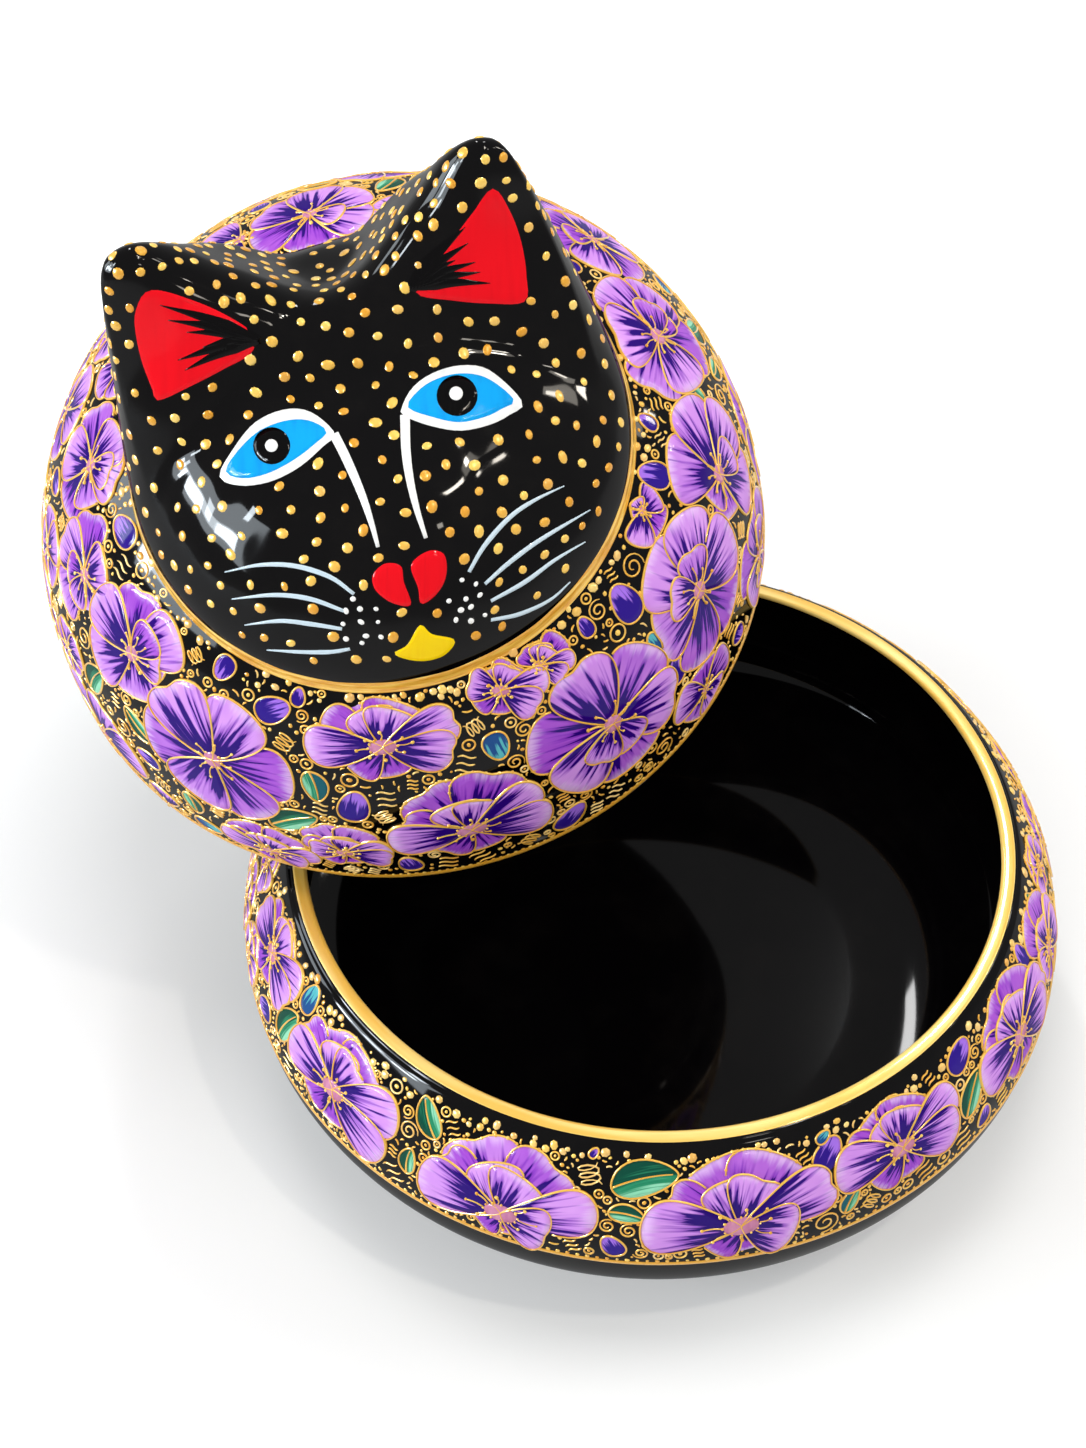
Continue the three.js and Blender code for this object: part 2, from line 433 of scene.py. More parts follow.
class Spot:
    """A flat drawing board on a surface; what is drawn on it is pressed onto the surface."""

    def __init__(self, surface, middle, side, up, out):
        self.surface = surface
        self.middle = middle
        self.side = side
        self.up = up
        self.out = out

    def press(self, drawn, lift):
        """The drawing on the surface, lifted off it."""
        flat = self.middle + drawn[:, :1] * self.side + drawn[:, 1:2] * self.up
        return self.surface.lifted(settled(self.surface.level, flat, self.out), lift)

    def drawn(self, points):
        """Where points on the surface lie on the board."""
        away = points - self.middle
        return np.stack([away @ self.side, away @ self.up], 1)


class PhotoBoard:
    """A drawing board over the photograph, pressed onto a surface along the camera's rays."""

    def __init__(self, surface):
        self.surface = surface

    def press(self, drawn, lift):
        """The drawing on the surface as the camera sees it, lifted off it."""
        return self.surface.lifted(self.surface.under_pixels(drawn * photo_to_board), lift)


bowl_surface = Surface(bowl_level, as_is, as_is, "base")
dome_surface = Surface(dome_level, lid_to_box, box_to_lid, "lid")
head_surface = Surface(head_level, lid_to_box, box_to_lid, "lid")


# Making meshes


def add_piece(name, surface, points, faces, material, slot, paint=None):
    """One finished mesh that rides on the surface's body."""
    mesh = bpy.data.meshes.new(name)
    mesh.from_pydata((surface.to_box(points) * MM).tolist(), [], faces)
    mesh.materials.append(material)
    mesh.polygons.foreach_set("use_smooth", [True] * len(mesh.polygons))
    if paint is not None:
        layer = mesh.attributes.new("paint", "FLOAT_VECTOR", "POINT")
        layer.data.foreach_set("vector", np.asarray(paint, np.float32).ravel())
    mesh.update()
    piece = bpy.data.objects.new(name, mesh)
    bpy.context.scene.collection.objects.link(piece)
    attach(piece, surface.body)
    return piece


def round_turns(count):
    """Angles of evenly spaced points round a circle."""
    return np.linspace(0, 2 * math.pi, count, endpoint=False)


def ringed(rows):
    """Points and faces of a skin over rings of points, where a ring of one point closes an end."""
    steps = max(len(row) for row in rows)
    faces = []
    start = 0
    for low, high in zip(rows[:-1], rows[1:]):
        above = start + len(low)
        for step in range(steps):
            after = (step + 1) % steps
            if len(low) == 1:
                faces.append((start, above + after, above + step))
            elif len(high) == 1:
                faces.append((start + step, start + after, above))
            else:
                faces.append((start + step, start + after, above + after, above + step))
        start = above
    return np.concatenate(rows), faces


def turned(profile, steps):
    """A turned body from its profile, which goes out, then up, then in."""
    turns = round_turns(steps)
    rows = []
    for radius, height in profile:
        if radius < tiny:
            rows.append(np.array([[0.0, 0.0, height]]))
            continue
        ring = [radius * np.cos(turns), radius * np.sin(turns), np.full(steps, height)]
        rows.append(np.stack(ring, 1))
    return ringed(rows)


def eased(start, end, count):
    """Numbers that crowd towards both ends."""
    share = (1 - np.cos(np.linspace(0, math.pi, count))) / 2
    return start + (end - start) * share


# Shapes of the bowl, the lid and the head

body_steps = 192
edge_round = 0.45
corner_points = 4
belly_rows = 40
shoulder_rows = 26
inner_shoulder_rows = 22
inner_belly_rows = 36
dome_rows = 60
hollow_rows = 40
# Ways that the bowl's profile arrives at its rim and leaves it
shoulder_way = (-0.4, 0.9)
mouth_way = (0.4, -0.9)


def rounded_corner(corner, start_way, end_way):
    """Points of a small fillet at a corner, between the ways that the profile arrives and leaves."""
    corner = np.array(corner)
    arrive = corner - np.array(start_way) * edge_round
    leave = corner + np.array(end_way) * edge_round
    points = []
    for share in np.linspace(0, 1, corner_points):
        rest = 1 - share
        points.append(rest**2 * arrive + 2 * share * rest * corner + share**2 * leave)
    return points


def bowl_profile():
    """The bowl from the middle of its foot, up its outside, over the rim and down to its floor."""
    profile = [(0.0, 0.0), (foot_radius / 2, 0.0)]
    profile += rounded_corner((foot_radius, 0.0), (1, 0), (0, 1))
    for height in eased(edge_round * 2, bulge_height, belly_rows):
        profile.append((bowl_outer(height), height))
    for height in np.linspace(bulge_height, bowl_height - edge_round, shoulder_rows)[1:]:
        profile.append((bowl_outer(height), height))
    profile += rounded_corner((rim_outer_radius, bowl_height), shoulder_way, (-1, 0))
    profile += rounded_corner((rim_inner_radius, bowl_height), (-1, 0), mouth_way)
    for height in np.linspace(bowl_height - edge_round, bulge_height, inner_shoulder_rows)[1:]:
        profile.append((bowl_inner(height), height))
    for height in eased(bulge_height, floor_thickness, inner_belly_rows)[1:]:
        profile.append((bowl_inner(height), height))
    return profile + [(floor_radius / 2, floor_thickness), (0.0, floor_thickness)]


def dome_arc(radius, height, count):
    """Profile points of a dome from its edge to its crown."""
    points = []
    for turn in np.linspace(0, math.pi / 2, count):
        out = max(math.cos(turn), 0.0) ** (2 / dome_fullness)
        up = max(math.sin(turn), 0.0) ** (2 / dome_fullness)
        points.append((radius * out, height * up))
    return points


def dome_profile():
    """The lid's shell from the crown of its hollow, down to its edge and up to its outer crown."""
    outer = dome_arc(lid_radius, dome_height, dome_rows)[1:]
    outer[-1] = (0.0, dome_height)
    inner = dome_arc(hollow_radius, hollow_height, hollow_rows)[1:]
    inner[-1] = (0.0, hollow_height)
    edge = rounded_corner((hollow_radius, 0.0), (0, -1), (1, 0))
    edge += rounded_corner((lid_radius, 0.0), (1, 0), (0, 1))
    inner = [point for point in inner if point[1] > edge_round * 2]
    outer = [point for point in outer if point[1] > edge_round * 2]
    return inner[::-1] + edge + outer


def collar_profile():
    """The collar's ring, from its lower inside corner and back to it."""
    inside = collar_radius - collar_wall
    low = -collar_drop
    profile = rounded_corner((inside, low), (0, -1), (1, 0))
    profile += rounded_corner((collar_radius, low), (1, 0), (0, 1))
    profile += rounded_corner((collar_radius, collar_grip), (0, 1), (-1, 0))
    profile += rounded_corner((inside, collar_grip), (-1, 0), (0, -1))
    return profile + profile[:1]


head_rings = 84
head_under_rings = 6
head_steps = 288
head_ring_easing = 0.9
head_sits_above = 0.1


def head_mesh():
    """The head and its ears as one skin over the dome, closed underneath."""
    turns = chin_turns(head_steps)
    reaches = head_reach(turns)

    def head_ring(share, top):
        x, y = round_head(share * reaches, turns)
        return np.stack([x, y, top(x, y)], 1)

    def underside(x, y):
        return dome_top(x, y) + head_sits_above

    middle_x, middle_y = head_to_lid(np.zeros(1), np.zeros(1))
    rows = [np.stack([middle_x, middle_y, underside(middle_x, middle_y)], 1)]
    for share in np.linspace(0, 1, head_under_rings + 1)[1:]:
        rows.append(head_ring(share, underside))
    for share in np.linspace(1, 0, head_rings + 1)[:-1]:
        rows.append(head_ring(share**head_ring_easing, head_top))
    rows.append(np.stack([middle_x, middle_y, head_top(middle_x, middle_y)], 1))
    return ringed(rows)


# Building materials from nodes

# Places of the colour sockets on a mix node
mix_share = 0
mix_first = 6
mix_second = 7
mix_result = 2


def new_material(name):
    material = bpy.data.materials.new(name)
    material.use_nodes = True
    return material, material.node_tree, material.node_tree.nodes["Principled BSDF"]


def feed(tree, node, socket, value):
    """Set an input, given by name or place, to a value, or link it to another node's output."""
    if isinstance(value, bpy.types.NodeSocket):
        tree.links.new(value, node.inputs[socket])
    else:
        node.inputs[socket].default_value = value


def add_node(tree, kind, settings=None, **inputs):
    """A node with its settings, and its inputs set or linked; underscores stand for spaces."""
    node = tree.nodes.new(kind)
    for name, value in (settings or {}).items():
        setattr(node, name, value)
    for name, value in inputs.items():
        feed(tree, node, name.replace("_", " "), value)
    return node


def maths(tree, operation, first, second):
    """The outcome of one operation on two numbers."""
    node = add_node(tree, "ShaderNodeMath", {"operation": operation})
    feed(tree, node, 0, first)
    feed(tree, node, 1, second)
    return node.outputs[0]


def blend_colours(tree, share, first, second):
    """The first colour where the share is 0 and the second where it is 1."""
    node = add_node(tree, "ShaderNodeMix", {"data_type": "RGBA"})
    feed(tree, node, mix_share, share)
    feed(tree, node, mix_first, first)
    feed(tree, node, mix_second, second)
    return node.outputs[mix_result]


def stepped(tree, value, low, high):
    """0 below low, 1 above high, smooth between them."""
    smooth = {"interpolation_type": "SMOOTHSTEP"}
    node = add_node(tree, "ShaderNodeMapRange", smooth, Value=value, From_Min=low, From_Max=high)
    return node.outputs["Result"]


def noise(tree, place, scale, detail, roughness=0.5):
    """Cloudy shades from 0 to 1."""
    node = add_node(tree, "ShaderNodeTexNoise", Vector=place, Scale=scale, Detail=detail)
    feed(tree, node, "Roughness", roughness)
    return node.outputs["Fac"]


def light_of(part):
    """The amount of light that one part of a screen colour stands for."""
    return part / 12.92 if part <= 0.04045 else ((part + 0.055) / 1.055) ** 2.4


def tint(code):
    """A colour as the shader takes it, from the six hex digits that a paint chart gives."""
    parts = [int(code[place : place + 2], 16) / 255 for place in (0, 2, 4)]
    return tuple(light_of(part) for part in parts) + (1.0,)


def blend_tints(tree, share, shades):
    """A blend of two colours of the paint chart."""
    first, second = shades
    return blend_colours(tree, share, tint(first), tint(second))


def new_group(name, inputs, outputs):
    group = bpy.data.node_groups.new(name, "ShaderNodeTree")
    for label, kind in inputs.items():
        group.interface.new_socket(label, in_out="INPUT", socket_type="NodeSocket" + kind)
    for label in outputs:
        group.interface.new_socket(label, in_out="OUTPUT", socket_type="NodeSocketFloat")
    return group, group.nodes.new("NodeGroupInput"), group.nodes.new("NodeGroupOutput")


# The lacquer's noises: scale, detail and roughness
pulp_waves = (110.0, 2.0)
rubbed_ripples = (420.0, 3.0)
bloom_smears = (90.0, 5.0, 0.65)
fine_specks = (1400.0, 2.0)
bloom_range = (0.45, 0.75)
speck_roughness = 0.04
ripple_height = 0.4


def lacquer_skin_group():
    """Hand-rubbed lacquer: slow waves from the pulp below, and a fine uneven gloss."""
    group, given, result = new_group(
        "lacquer_skin",
        {"Place": "Vector", "Gloss": "Float", "Unevenness": "Float"},
        ["Roughness", "Height", "Bloom"],
    )
    place = given.outputs["Place"]
    bloom = stepped(group, noise(group, place, *bloom_smears), *bloom_range)
    rough = maths(group, "MULTIPLY", bloom, given.outputs["Unevenness"])
    specks = maths(group, "MULTIPLY", noise(group, place, *fine_specks), speck_roughness)
    rough = maths(group, "ADD", maths(group, "ADD", rough, specks), given.outputs["Gloss"])
    ripples = maths(group, "MULTIPLY", noise(group, place, *rubbed_ripples), ripple_height)
    height = maths(group, "ADD", noise(group, place, *pulp_waves), ripples)
    feed(group, result, "Roughness", rough)
    feed(group, result, "Height", height)
    feed(group, result, "Bloom", bloom)
    return group


# The brush's noises: scale, detail and roughness
hair_streaks = (1.6, 1.6)
thin_washes = (1.1, 2.0)
# How far apart strokes of different tints lie in the noise, and how it runs along a stroke
strokes_apart = 61.0
streaks_along = 0.7
washes_along = 1.6


def hand_brush_group():
    """Streaks of a fine brush along a stroke, from the stroke's own along, across and tint."""
    group, given, result = new_group(
        "hand_brush",
        {"Stroke": "Vector", "Hairs": "Float"},
        ["Streak", "Wash", "Along", "Tint"],
    )
    parts = add_node(group, "ShaderNodeSeparateXYZ", Vector=given.outputs["Stroke"])
    along = parts.outputs["X"]
    across = parts.outputs["Y"]
    shade = parts.outputs["Z"]
    apart = maths(group, "MULTIPLY", shade, strokes_apart)
    hairs = maths(group, "MULTIPLY", across, given.outputs["Hairs"])
    streak_along = maths(group, "MULTIPLY", along, streaks_along)
    wash_along = maths(group, "MULTIPLY", along, washes_along)
    streak_place = add_node(group, "ShaderNodeCombineXYZ", X=hairs, Y=streak_along, Z=apart)
    wash_place = add_node(group, "ShaderNodeCombineXYZ", X=across, Y=wash_along, Z=apart)
    feed(group, result, "Streak", noise(group, streak_place.outputs["Vector"], *hair_streaks))
    feed(group, result, "Wash", noise(group, wash_place.outputs["Vector"], *thin_washes))
    feed(group, result, "Along", along)
    feed(group, result, "Tint", shade)
    return group


lacquer_skin = lacquer_skin_group()
hand_brush = hand_brush_group()

# Clear coats and shines
coat_roughness = 0.05
lacquer_coat = 0.34
paint_coat = 0.26
gold_coat = 0.6
covered_shine = 0.0
gold_shine = 0.4
# Skins: gloss, unevenness, and relief in metres
lacquer_feel = (0.16, 0.1, 0.00026)
paint_feel = (0.3, 0.15, 0.00005)
heart_feel = (0.35, 0.15, 0.00005)
face_feel = (0.26, 0.16, 0.00005)
gold_feel = (0.28, 0.2, 0.00006)


def lay_skin(tree, shader, gloss, unevenness, relief):
    """Put the lacquer skin on a shader: its roughness and its waviness."""
    place = add_node(tree, "ShaderNodeTexCoord").outputs["Object"]
    kind = {"node_tree": lacquer_skin}
    skin = add_node(tree, "ShaderNodeGroup", kind, Place=place, Gloss=gloss, Unevenness=unevenness)
    bump = add_node(tree, "ShaderNodeBump", Strength=1.0, Distance=relief, Height=skin.outputs["Height"])
    feed(tree, shader, "Roughness", skin.outputs["Roughness"])
    feed(tree, shader, "Normal", bump.outputs["Normal"])
    return skin


def lay_brush(tree, hairs):
    """Read the stroke that a painted point belongs to, and put the brush's streaks on it."""
    stroke = add_node(tree, "ShaderNodeAttribute", {"attribute_name": "paint"}).outputs["Vector"]
    return add_node(tree, "ShaderNodeGroup", {"node_tree": hand_brush}, Stroke=stroke, Hairs=hairs)


def varnish(shader, weight, below):
    """The clear lacquer over the paint, and how much the paint below it shines by itself."""
    shader.inputs["Coat Weight"].default_value = weight
    shader.inputs["Coat Roughness"].default_value = coat_roughness
    shader.inputs["Specular IOR Level"].default_value = below


# Paint: strokes, patches and beads that lie on a surface

paint_sink = -0.03
patch_edge = 0.965
# A stroke's cross section and a drop's side: share of the half width or radius, and share of the height
stroke_section = ((1, 0), (0.5, 0.87), (-0.5, 0.87), (-1, 0))
drop_section = ((1.0, 0.0), (0.8, 0.6), (0.45, 0.9))
drop_height = 0.42
drop_stretch = (0.86, 1.16)
drop_sides = 10
small_drop_sides = 7
stroke_settling = 4
drop_settling = 3
curve_steps = 12
nearly_level = 0.05
# Points are tested this little aside, so that a point on an outline gives the same answer each run
tested_aside = 1e-6


def across_ways(out):
    """A side way and an up way for each normal."""
    up = np.array([0.0, 0.0, 1.0]) - out * out[:, 2:3]
    level = np.linalg.norm(up, axis=1) < nearly_level
    up[level] = np.array([0.0, 1.0, 0.0])
    up -= out * (up * out).sum(1, keepdims=True)
    up /= np.linalg.norm(up, axis=1, keepdims=True)
    return np.cross(up, out), up


class Coat:
    """All the paint of one kind on one surface, gathered into one mesh."""

    def __init__(self, surface):
        self.surface = surface
        self.points = []
        self.faces = []
        self.paint = []
        self.count = 0

    def add(self, points, faces, paint):
        self.points.append(points)
        self.faces.extend(tuple(corner + self.count for corner in face) for face in faces)
        self.paint.append(paint)
        self.count += len(points)

    def patch(self, board, outline, lift, paint, rings=4, middle=None):
        """A filled shape from its outline, which runs anticlockwise on the board."""
        middle = outline.mean(0) if middle is None else middle
        shares = np.concatenate([[1.0], np.linspace(patch_edge, 0, rings + 1)[:-1]])
        drawn = [middle + (outline - middle) * share for share in shares]
        drawn.append(middle[None])
        sizes = [len(row) for row in drawn]
        lifts = np.concatenate([np.full(sizes[0], paint_sink), np.full(sum(sizes[1:]), lift)])
        flat = np.concatenate(drawn)
        rows = np.split(board.press(flat, lifts), np.cumsum(sizes)[:-1])
        points, faces = ringed(rows)
        self.add(points, faces, paint(flat))

    def stroke(self, path, half_width, height, closed=False, shade=0.5):
        """A raised line of paint along points that lie on the surface."""
        count = len(path)
        lanes = len(stroke_section)
        out = normals_of(self.surface.level, path)
        if closed:
            ahead = np.roll(path, -1, 0) - np.roll(path, 1, 0)
        else:
            ahead = np.gradient(path, axis=0)
        side = np.cross(ahead, out)
        side /= np.maximum(np.linalg.norm(side, axis=1, keepdims=True), tiny)
        width = np.broadcast_to(np.asarray(half_width, float), (count,))[:, None]
        edges = []
        for offset, lift in stroke_section:
            edge = settled(self.surface.level, path + side * width * offset, out, stroke_settling)
            edges.append(edge + out * (height * lift if lift else paint_sink))
        points = np.stack(edges, 1).reshape(-1, 3)
        faces = []
        for step in range(count if closed else count - 1):
            here = step * lanes
            there = (step + 1) % count * lanes
            for lane in range(lanes - 1):
                faces.append((here + lane, there + lane, there + lane + 1, here + lane + 1))
        if not closed:
            last = (count - 1) * lanes
            faces.append(tuple(range(lanes)))
            faces.append(tuple(last + lane for lane in reversed(range(lanes))))
        along = np.repeat(np.linspace(0, 1, count), lanes)
        across = np.tile(np.linspace(-1, 1, lanes), count)
        self.add(points, faces, np.stack([along, across, np.full(len(points), shade)], 1))

    def beads(self, centres, radii, shades, height=drop_height, sides=drop_sides):
        """Drops of paint, each a little longer one way than the other."""
        level = self.surface.level
        out = normals_of(level, centres)
        side, up = across_ways(out)
        stands = np.maximum(level(centres), 0)
        turns = round_turns(sides)
        drops = zip(centres, radii, shades, out, side, up, stands)
        for centre, radius, shade, normal, right, top, stand in drops:
            lean = dice.uniform(0, math.pi)
            stretch = dice.uniform(*drop_stretch)
            long_way = right * math.cos(lean) + top * math.sin(lean)
            short_way = np.cross(normal, long_way)
            ring = np.outer(np.cos(turns), long_way) * stretch
            ring += np.outer(np.sin(turns), short_way) / stretch
            outward = np.tile(normal, (sides, 1))
            rows = []
            for share, lift in drop_section:
                tall = stand + radius * height * lift if lift else paint_sink
                row = settled(level, centre + ring * radius * share, outward, drop_settling)
                rows.append(row + normal * tall)
            rows.append((centre + normal * radius * height)[None])
            points, faces = ringed(rows)
            self.add(points, faces, np.tile([0.5, 0.5, shade], (len(points), 1)))

    def make(self, name, material, slot):
        points = np.concatenate(self.points)
        paint = np.concatenate(self.paint)
        add_piece(name, self.surface, points, self.faces, material, slot, paint)


# Drawings: points across and along a board


def plain_paint(drawn):
    """Paint that follows the drawing's own width and height."""
    low = drawn.min(0)
    share = (drawn - low) / np.maximum(drawn.max(0) - low, tiny)
    return np.stack([share[:, 1], share[:, 0] * 2 - 1, np.full(len(drawn), 0.5)], 1)


def lies_inside(outline, points):
    """Which points lie inside a closed outline."""
    x = points[:, :1] + tested_aside
    y = points[:, 1:2]
    after = np.roll(outline, -1, 0)
    run = after[:, 0] - outline[:, 0]
    rise = after[:, 1] - outline[:, 1]
    crosses = (outline[:, 1] > y) != (after[:, 1] > y)
    meets = outline[:, 0] + (y - outline[:, 1]) * run / np.where(rise == 0, tiny, rise)
    return (crosses & (x < meets)).sum(1) % 2 == 1


def uncovered(outline, covers):
    """Which points of an outline lie under none of the shapes that may cover it."""
    seen = np.ones(len(outline), bool)
    for cover in covers:
        seen &= ~lies_inside(cover, outline)
    return seen


def smooth_path(points, count, closed=False):
    """A smooth curve through a few points, as evenly spaced points."""
    points = np.asarray(points, float)
    if closed:
        points = np.concatenate([points, points[:1]])
        before = points[-2]
        after = points[1]
    else:
        before = 2 * points[0] - points[1]
        after = 2 * points[-1] - points[-2]
    padded = np.concatenate([before[None], points, after[None]])
    curve = []
    for place in range(len(points) - 1):
        a, b, c, d = padded[place : place + 4]
        slope = c - a
        bend = 2 * a - 5 * b + 4 * c - d
        twist = 3 * b - a - 3 * c + d
        for share in np.linspace(0, 1, curve_steps, endpoint=False):
            curve.append(0.5 * (2 * b + slope * share + bend * share**2 + twist * share**3))
    curve.append(points[-1])
    curve = np.array(curve)
    lengths = np.linalg.norm(np.diff(curve, axis=0), axis=1)
    steps = np.concatenate([[0], np.cumsum(lengths)])
    places = np.linspace(0, steps[-1], count + 1 if closed else count)
    evened = np.stack([np.interp(places, steps, lane) for lane in curve.T], 1)
    return evened[:-1] if closed else evened


def anticlockwise(outline):
    after = np.roll(outline, -1, 0)
    area = (outline[:, 0] * after[:, 1] - after[:, 0] * outline[:, 1]).sum()
    return outline if area > 0 else outline[::-1]


def turned_drawing(drawn, turn):
    """A drawing turned clockwise from straight up."""
    across = drawn[:, 0] * math.cos(turn) + drawn[:, 1] * math.sin(turn)
    along = -drawn[:, 0] * math.sin(turn) + drawn[:, 1] * math.cos(turn)
    return np.stack([across, along], 1)


def ring_drawing(count):
    """Points round a circle of radius 1."""
    turns = round_turns(count)
    return np.stack([np.cos(turns), np.sin(turns)], 1)


# Petals

petal_root = 0.8
petal_tip = 4.0
petal_widest = 0.66
petal_points = 26
petal_rings = 4
petal_middle = 0.55
# The notch in a petal's rim: its width, and its start and length along the petal
notch_width = 0.3
notch_start = 0.85
notch_span = 0.15
# How close together brush strokes are at a petal's root, and how they spread
hair_root = 0.3
hair_spread = 0.7
# How petals of one kind differ from one another
petal_turn_spread = 0.06
petal_length_spread = (0.95, 1.05)
petal_width_spread = (0.93, 1.07)
petal_sway_spread = 0.04
petal_shade_spread = 0.08
petal_notches = (0.0, 0.0, 0.06)
# Shares of the flower's radius and of the petal's length
shortest_petal = 0.25
widest_petal = 0.72
# Points that a petal is fitted in by, and that keep its place: shares across and along
petal_edge = ((0, 1.0), (-0.6, 0.94), (0.6, 0.94), (-1, 0.76), (1, 0.76), (-0.9, 0.55), (0.9, 0.55))
petal_spine = ((0, 0.3), (0, 0.55), (0, 0.78), (-0.5, 0.7), (0.5, 0.7))
# Petals of a flower seen from the side: direction, length, half width, and 0 for pale to 1 for deep
fan_petals = (
    (-26, 1.0, 0.46, 0.65),
    (27, 0.98, 0.44, 0.7),
    (-62, 0.86, 0.27, 0.85),
    (178, 0.5, 0.3, 1.0),
    (-132, 0.6, 0.3, 1.0),
    (-14, 0.58, 0.33, 0.1),
    (23, 0.55, 0.34, 0.15),
    (-86, 1.0, 0.33, 0.1),
    (73, 1.0, 0.31, 0.12),
    (107, 0.95, 0.34, 0.05),
)
# Petals of a flower seen from the front
few_petals = 5
many_petals = 6
many_petals_from = 17
open_petal_width = 0.888
open_shade_back = 0.75
open_shade_fall = 0.7
inner_petal = (0.56, 0.28)
inner_petal_shade = (0.1, 0.9)


def petal_width(along):
    """Share of a petal's half width at a share of its length."""
    return along**petal_root * np.sqrt(np.maximum(1 - along**petal_tip, 0)) / petal_widest


def open_petals(across):
    """Petals of a flower seen from the front, back ones first."""
    count = few_petals if across < many_petals_from else many_petals
    half_width = open_petal_width * math.sin(math.pi / count)
    start = dice.uniform(0, 360)
    petals = []
    for place in dice.permutation(count):
        shade = open_shade_back - open_shade_fall * len(petals) / count
        petals.append((start + place * 360 / count, 1.0, half_width, shade))
    for _ in range(dice.integers(0, 3) if count == many_petals else 0):
        petals.append((dice.uniform(0, 360), *inner_petal, dice.uniform(*inner_petal_shade)))
    return petals


class Petal:
    """One petal, with a coarse outline for its fill and a fine one for its gold line."""

    def __init__(self, direction, length, half_width, sway, notch, shade):
        self.direction = direction
        self.length = length
        self.half_width = half_width
        self.shade = shade
        self.coarse = self.outline(sway, notch, petal_points)
        self.fine = self.outline(sway, notch, petal_points * 2)

    def outline(self, sway, notch, count):
        """The petal's outline, from the flower's middle and back to it."""
        turns = round_turns(count)
        along = (1 - np.cos(turns)) / 2
        across = np.sign(np.sin(turns)) * petal_width(along) * self.half_width
        dip = notch * self.length * hump(across / (notch_width * self.half_width))
        dip = dip * np.clip((along - notch_start) / notch_span, 0, 1)
        drawn = np.stack([across + sway * self.length * along**2, along * self.length - dip], 1)
        return turned_drawing(drawn, self.direction)

    def strokes(self, drawn):
        """Brush strokes that spread from the petal's root to its rim."""
        local = turned_drawing(drawn, -self.direction)
        share = np.clip(local[:, 1] / self.length, 0, 1)
        hair = local[:, 0] / self.half_width / (hair_root + hair_spread * share)
        return np.stack([share, hair, np.full(len(drawn), self.shade)], 1)

    def spine(self):
        """Places along the petal's middle, and how much room it has around each."""
        across, along = np.array(petal_spine).T
        widths = petal_width(along) * self.half_width * (1 - np.abs(across))
        places = np.stack([across * self.half_width, along * self.length], 1)
        return turned_drawing(places, self.direction), np.minimum(widths, (1 - along) * self.length)


# Gold scrollwork, each kind drawn within a circle of radius 1

scroll_points = 29
ring_reach = 0.8
ring_points = 16
spiral_reach = 0.95
spiral_inward = 0.78
spiral_rounds = 1.75
coil_length = 1.4
coil_loops = 3
coil_lean = 0.26
coil_height = 0.62
rung_length = 1.3
rung_wave = 0.1
rung_heights = (-0.62, 0.0, 0.62)
rung_thinning = 4
dash_length = 1.6
dash_bow = 0.25
dash_thinning = 5


def scroll_paths(kind):
    """The paths of a piece of scrollwork, and whether each is closed."""
    share = np.linspace(0, 1, scroll_points)
    swing = share * 2 * math.pi
    if kind == "ring":
        return [(ring_reach * ring_drawing(ring_points), True)]
    if kind == "spiral":
        reach = spiral_reach - spiral_inward * share
        spun = spiral_rounds * swing
        return [(np.stack([reach * np.cos(spun), reach * np.sin(spun)], 1), False)]
    if kind == "coil":
        across = share * coil_length - coil_length / 2 + coil_lean * np.sin(coil_loops * swing)
        return [(np.stack([across, coil_height * np.cos(coil_loops * swing)], 1), False)]
    if kind == "rungs":
        across = share * rung_length - rung_length / 2
        rung = np.stack([across, rung_wave * np.sin(swing)], 1)[::rung_thinning]
        return [(rung + np.array([0.0, height]), False) for height in rung_heights]
    along = share * dash_length - dash_length / 2
    return [(np.stack([dash_bow * np.sin(share * math.pi), along], 1)[::dash_thinning], False)]


# Flowers, leaves, buds and the gold work between them

line_half_width = 0.17
line_height = 0.17
shortest_line = 4
oval_lift = 0.05
layer_lift = 0.08
layer_step = 0.03
outline_room = 0.3
petal_overlap = 0.0
band_clear = 0.1
band_step = 0.5
nothing_near = 99.0
shrinking_shares = (1.0, 0.92, 0.84, 0.76, 0.68, 0.6, 0.52, 0.44, 0.36)
# Tint ranges of gold drops, plain and cream; the cream is partly paler gold and partly a painted glare
# highlight
plain_glow = (0.1, 0.7)
cream_glow = (0.65, 1.0)
beaded_petals = 2
petal_drop_sizes = (0.24, 0.34)
# The heart of a flower: size as a share of the flower's radius, flatness, and drops round it
side_heart = (0.19, 0.6, 12)
front_heart = (0.12, 1.0, 8)
heart_points = 14
heart_rings = 2
heart_drop_sizes = (0.2, 0.28)
few_stamens = 6
many_stamens = 8
many_stamens_from = 8
stamen_turn_spread = (-0.25, 0.25)
stamen_reach = (0.1, 0.22)
stamen_bow = 0.06
stamen_points = 6
stamen_half_width = 0.13
stamen_height = 0.7
stamen_drop_sizes = (0.24, 0.36)
# Moving a leaf or a bud clear of other paint
easing_tries = 12
easing_longest = 0.6
easing_clear = 0.1
# Leaves and buds
oval_points = 32
oval_rings = 4
oval_fuller_below = 0.2
oval_spine = ((0, -0.25), (0, 0.0), (0, 0.25))
oval_spine_rooms = (0.95, 1.0, 0.8)
leaf_point = 1.15
bud_point = 0.9
leaf_lean = 0.06
rib_reach = (-0.5, 0.42)
rib_points = 14
rib_half_widths = (0.2, 0.1)
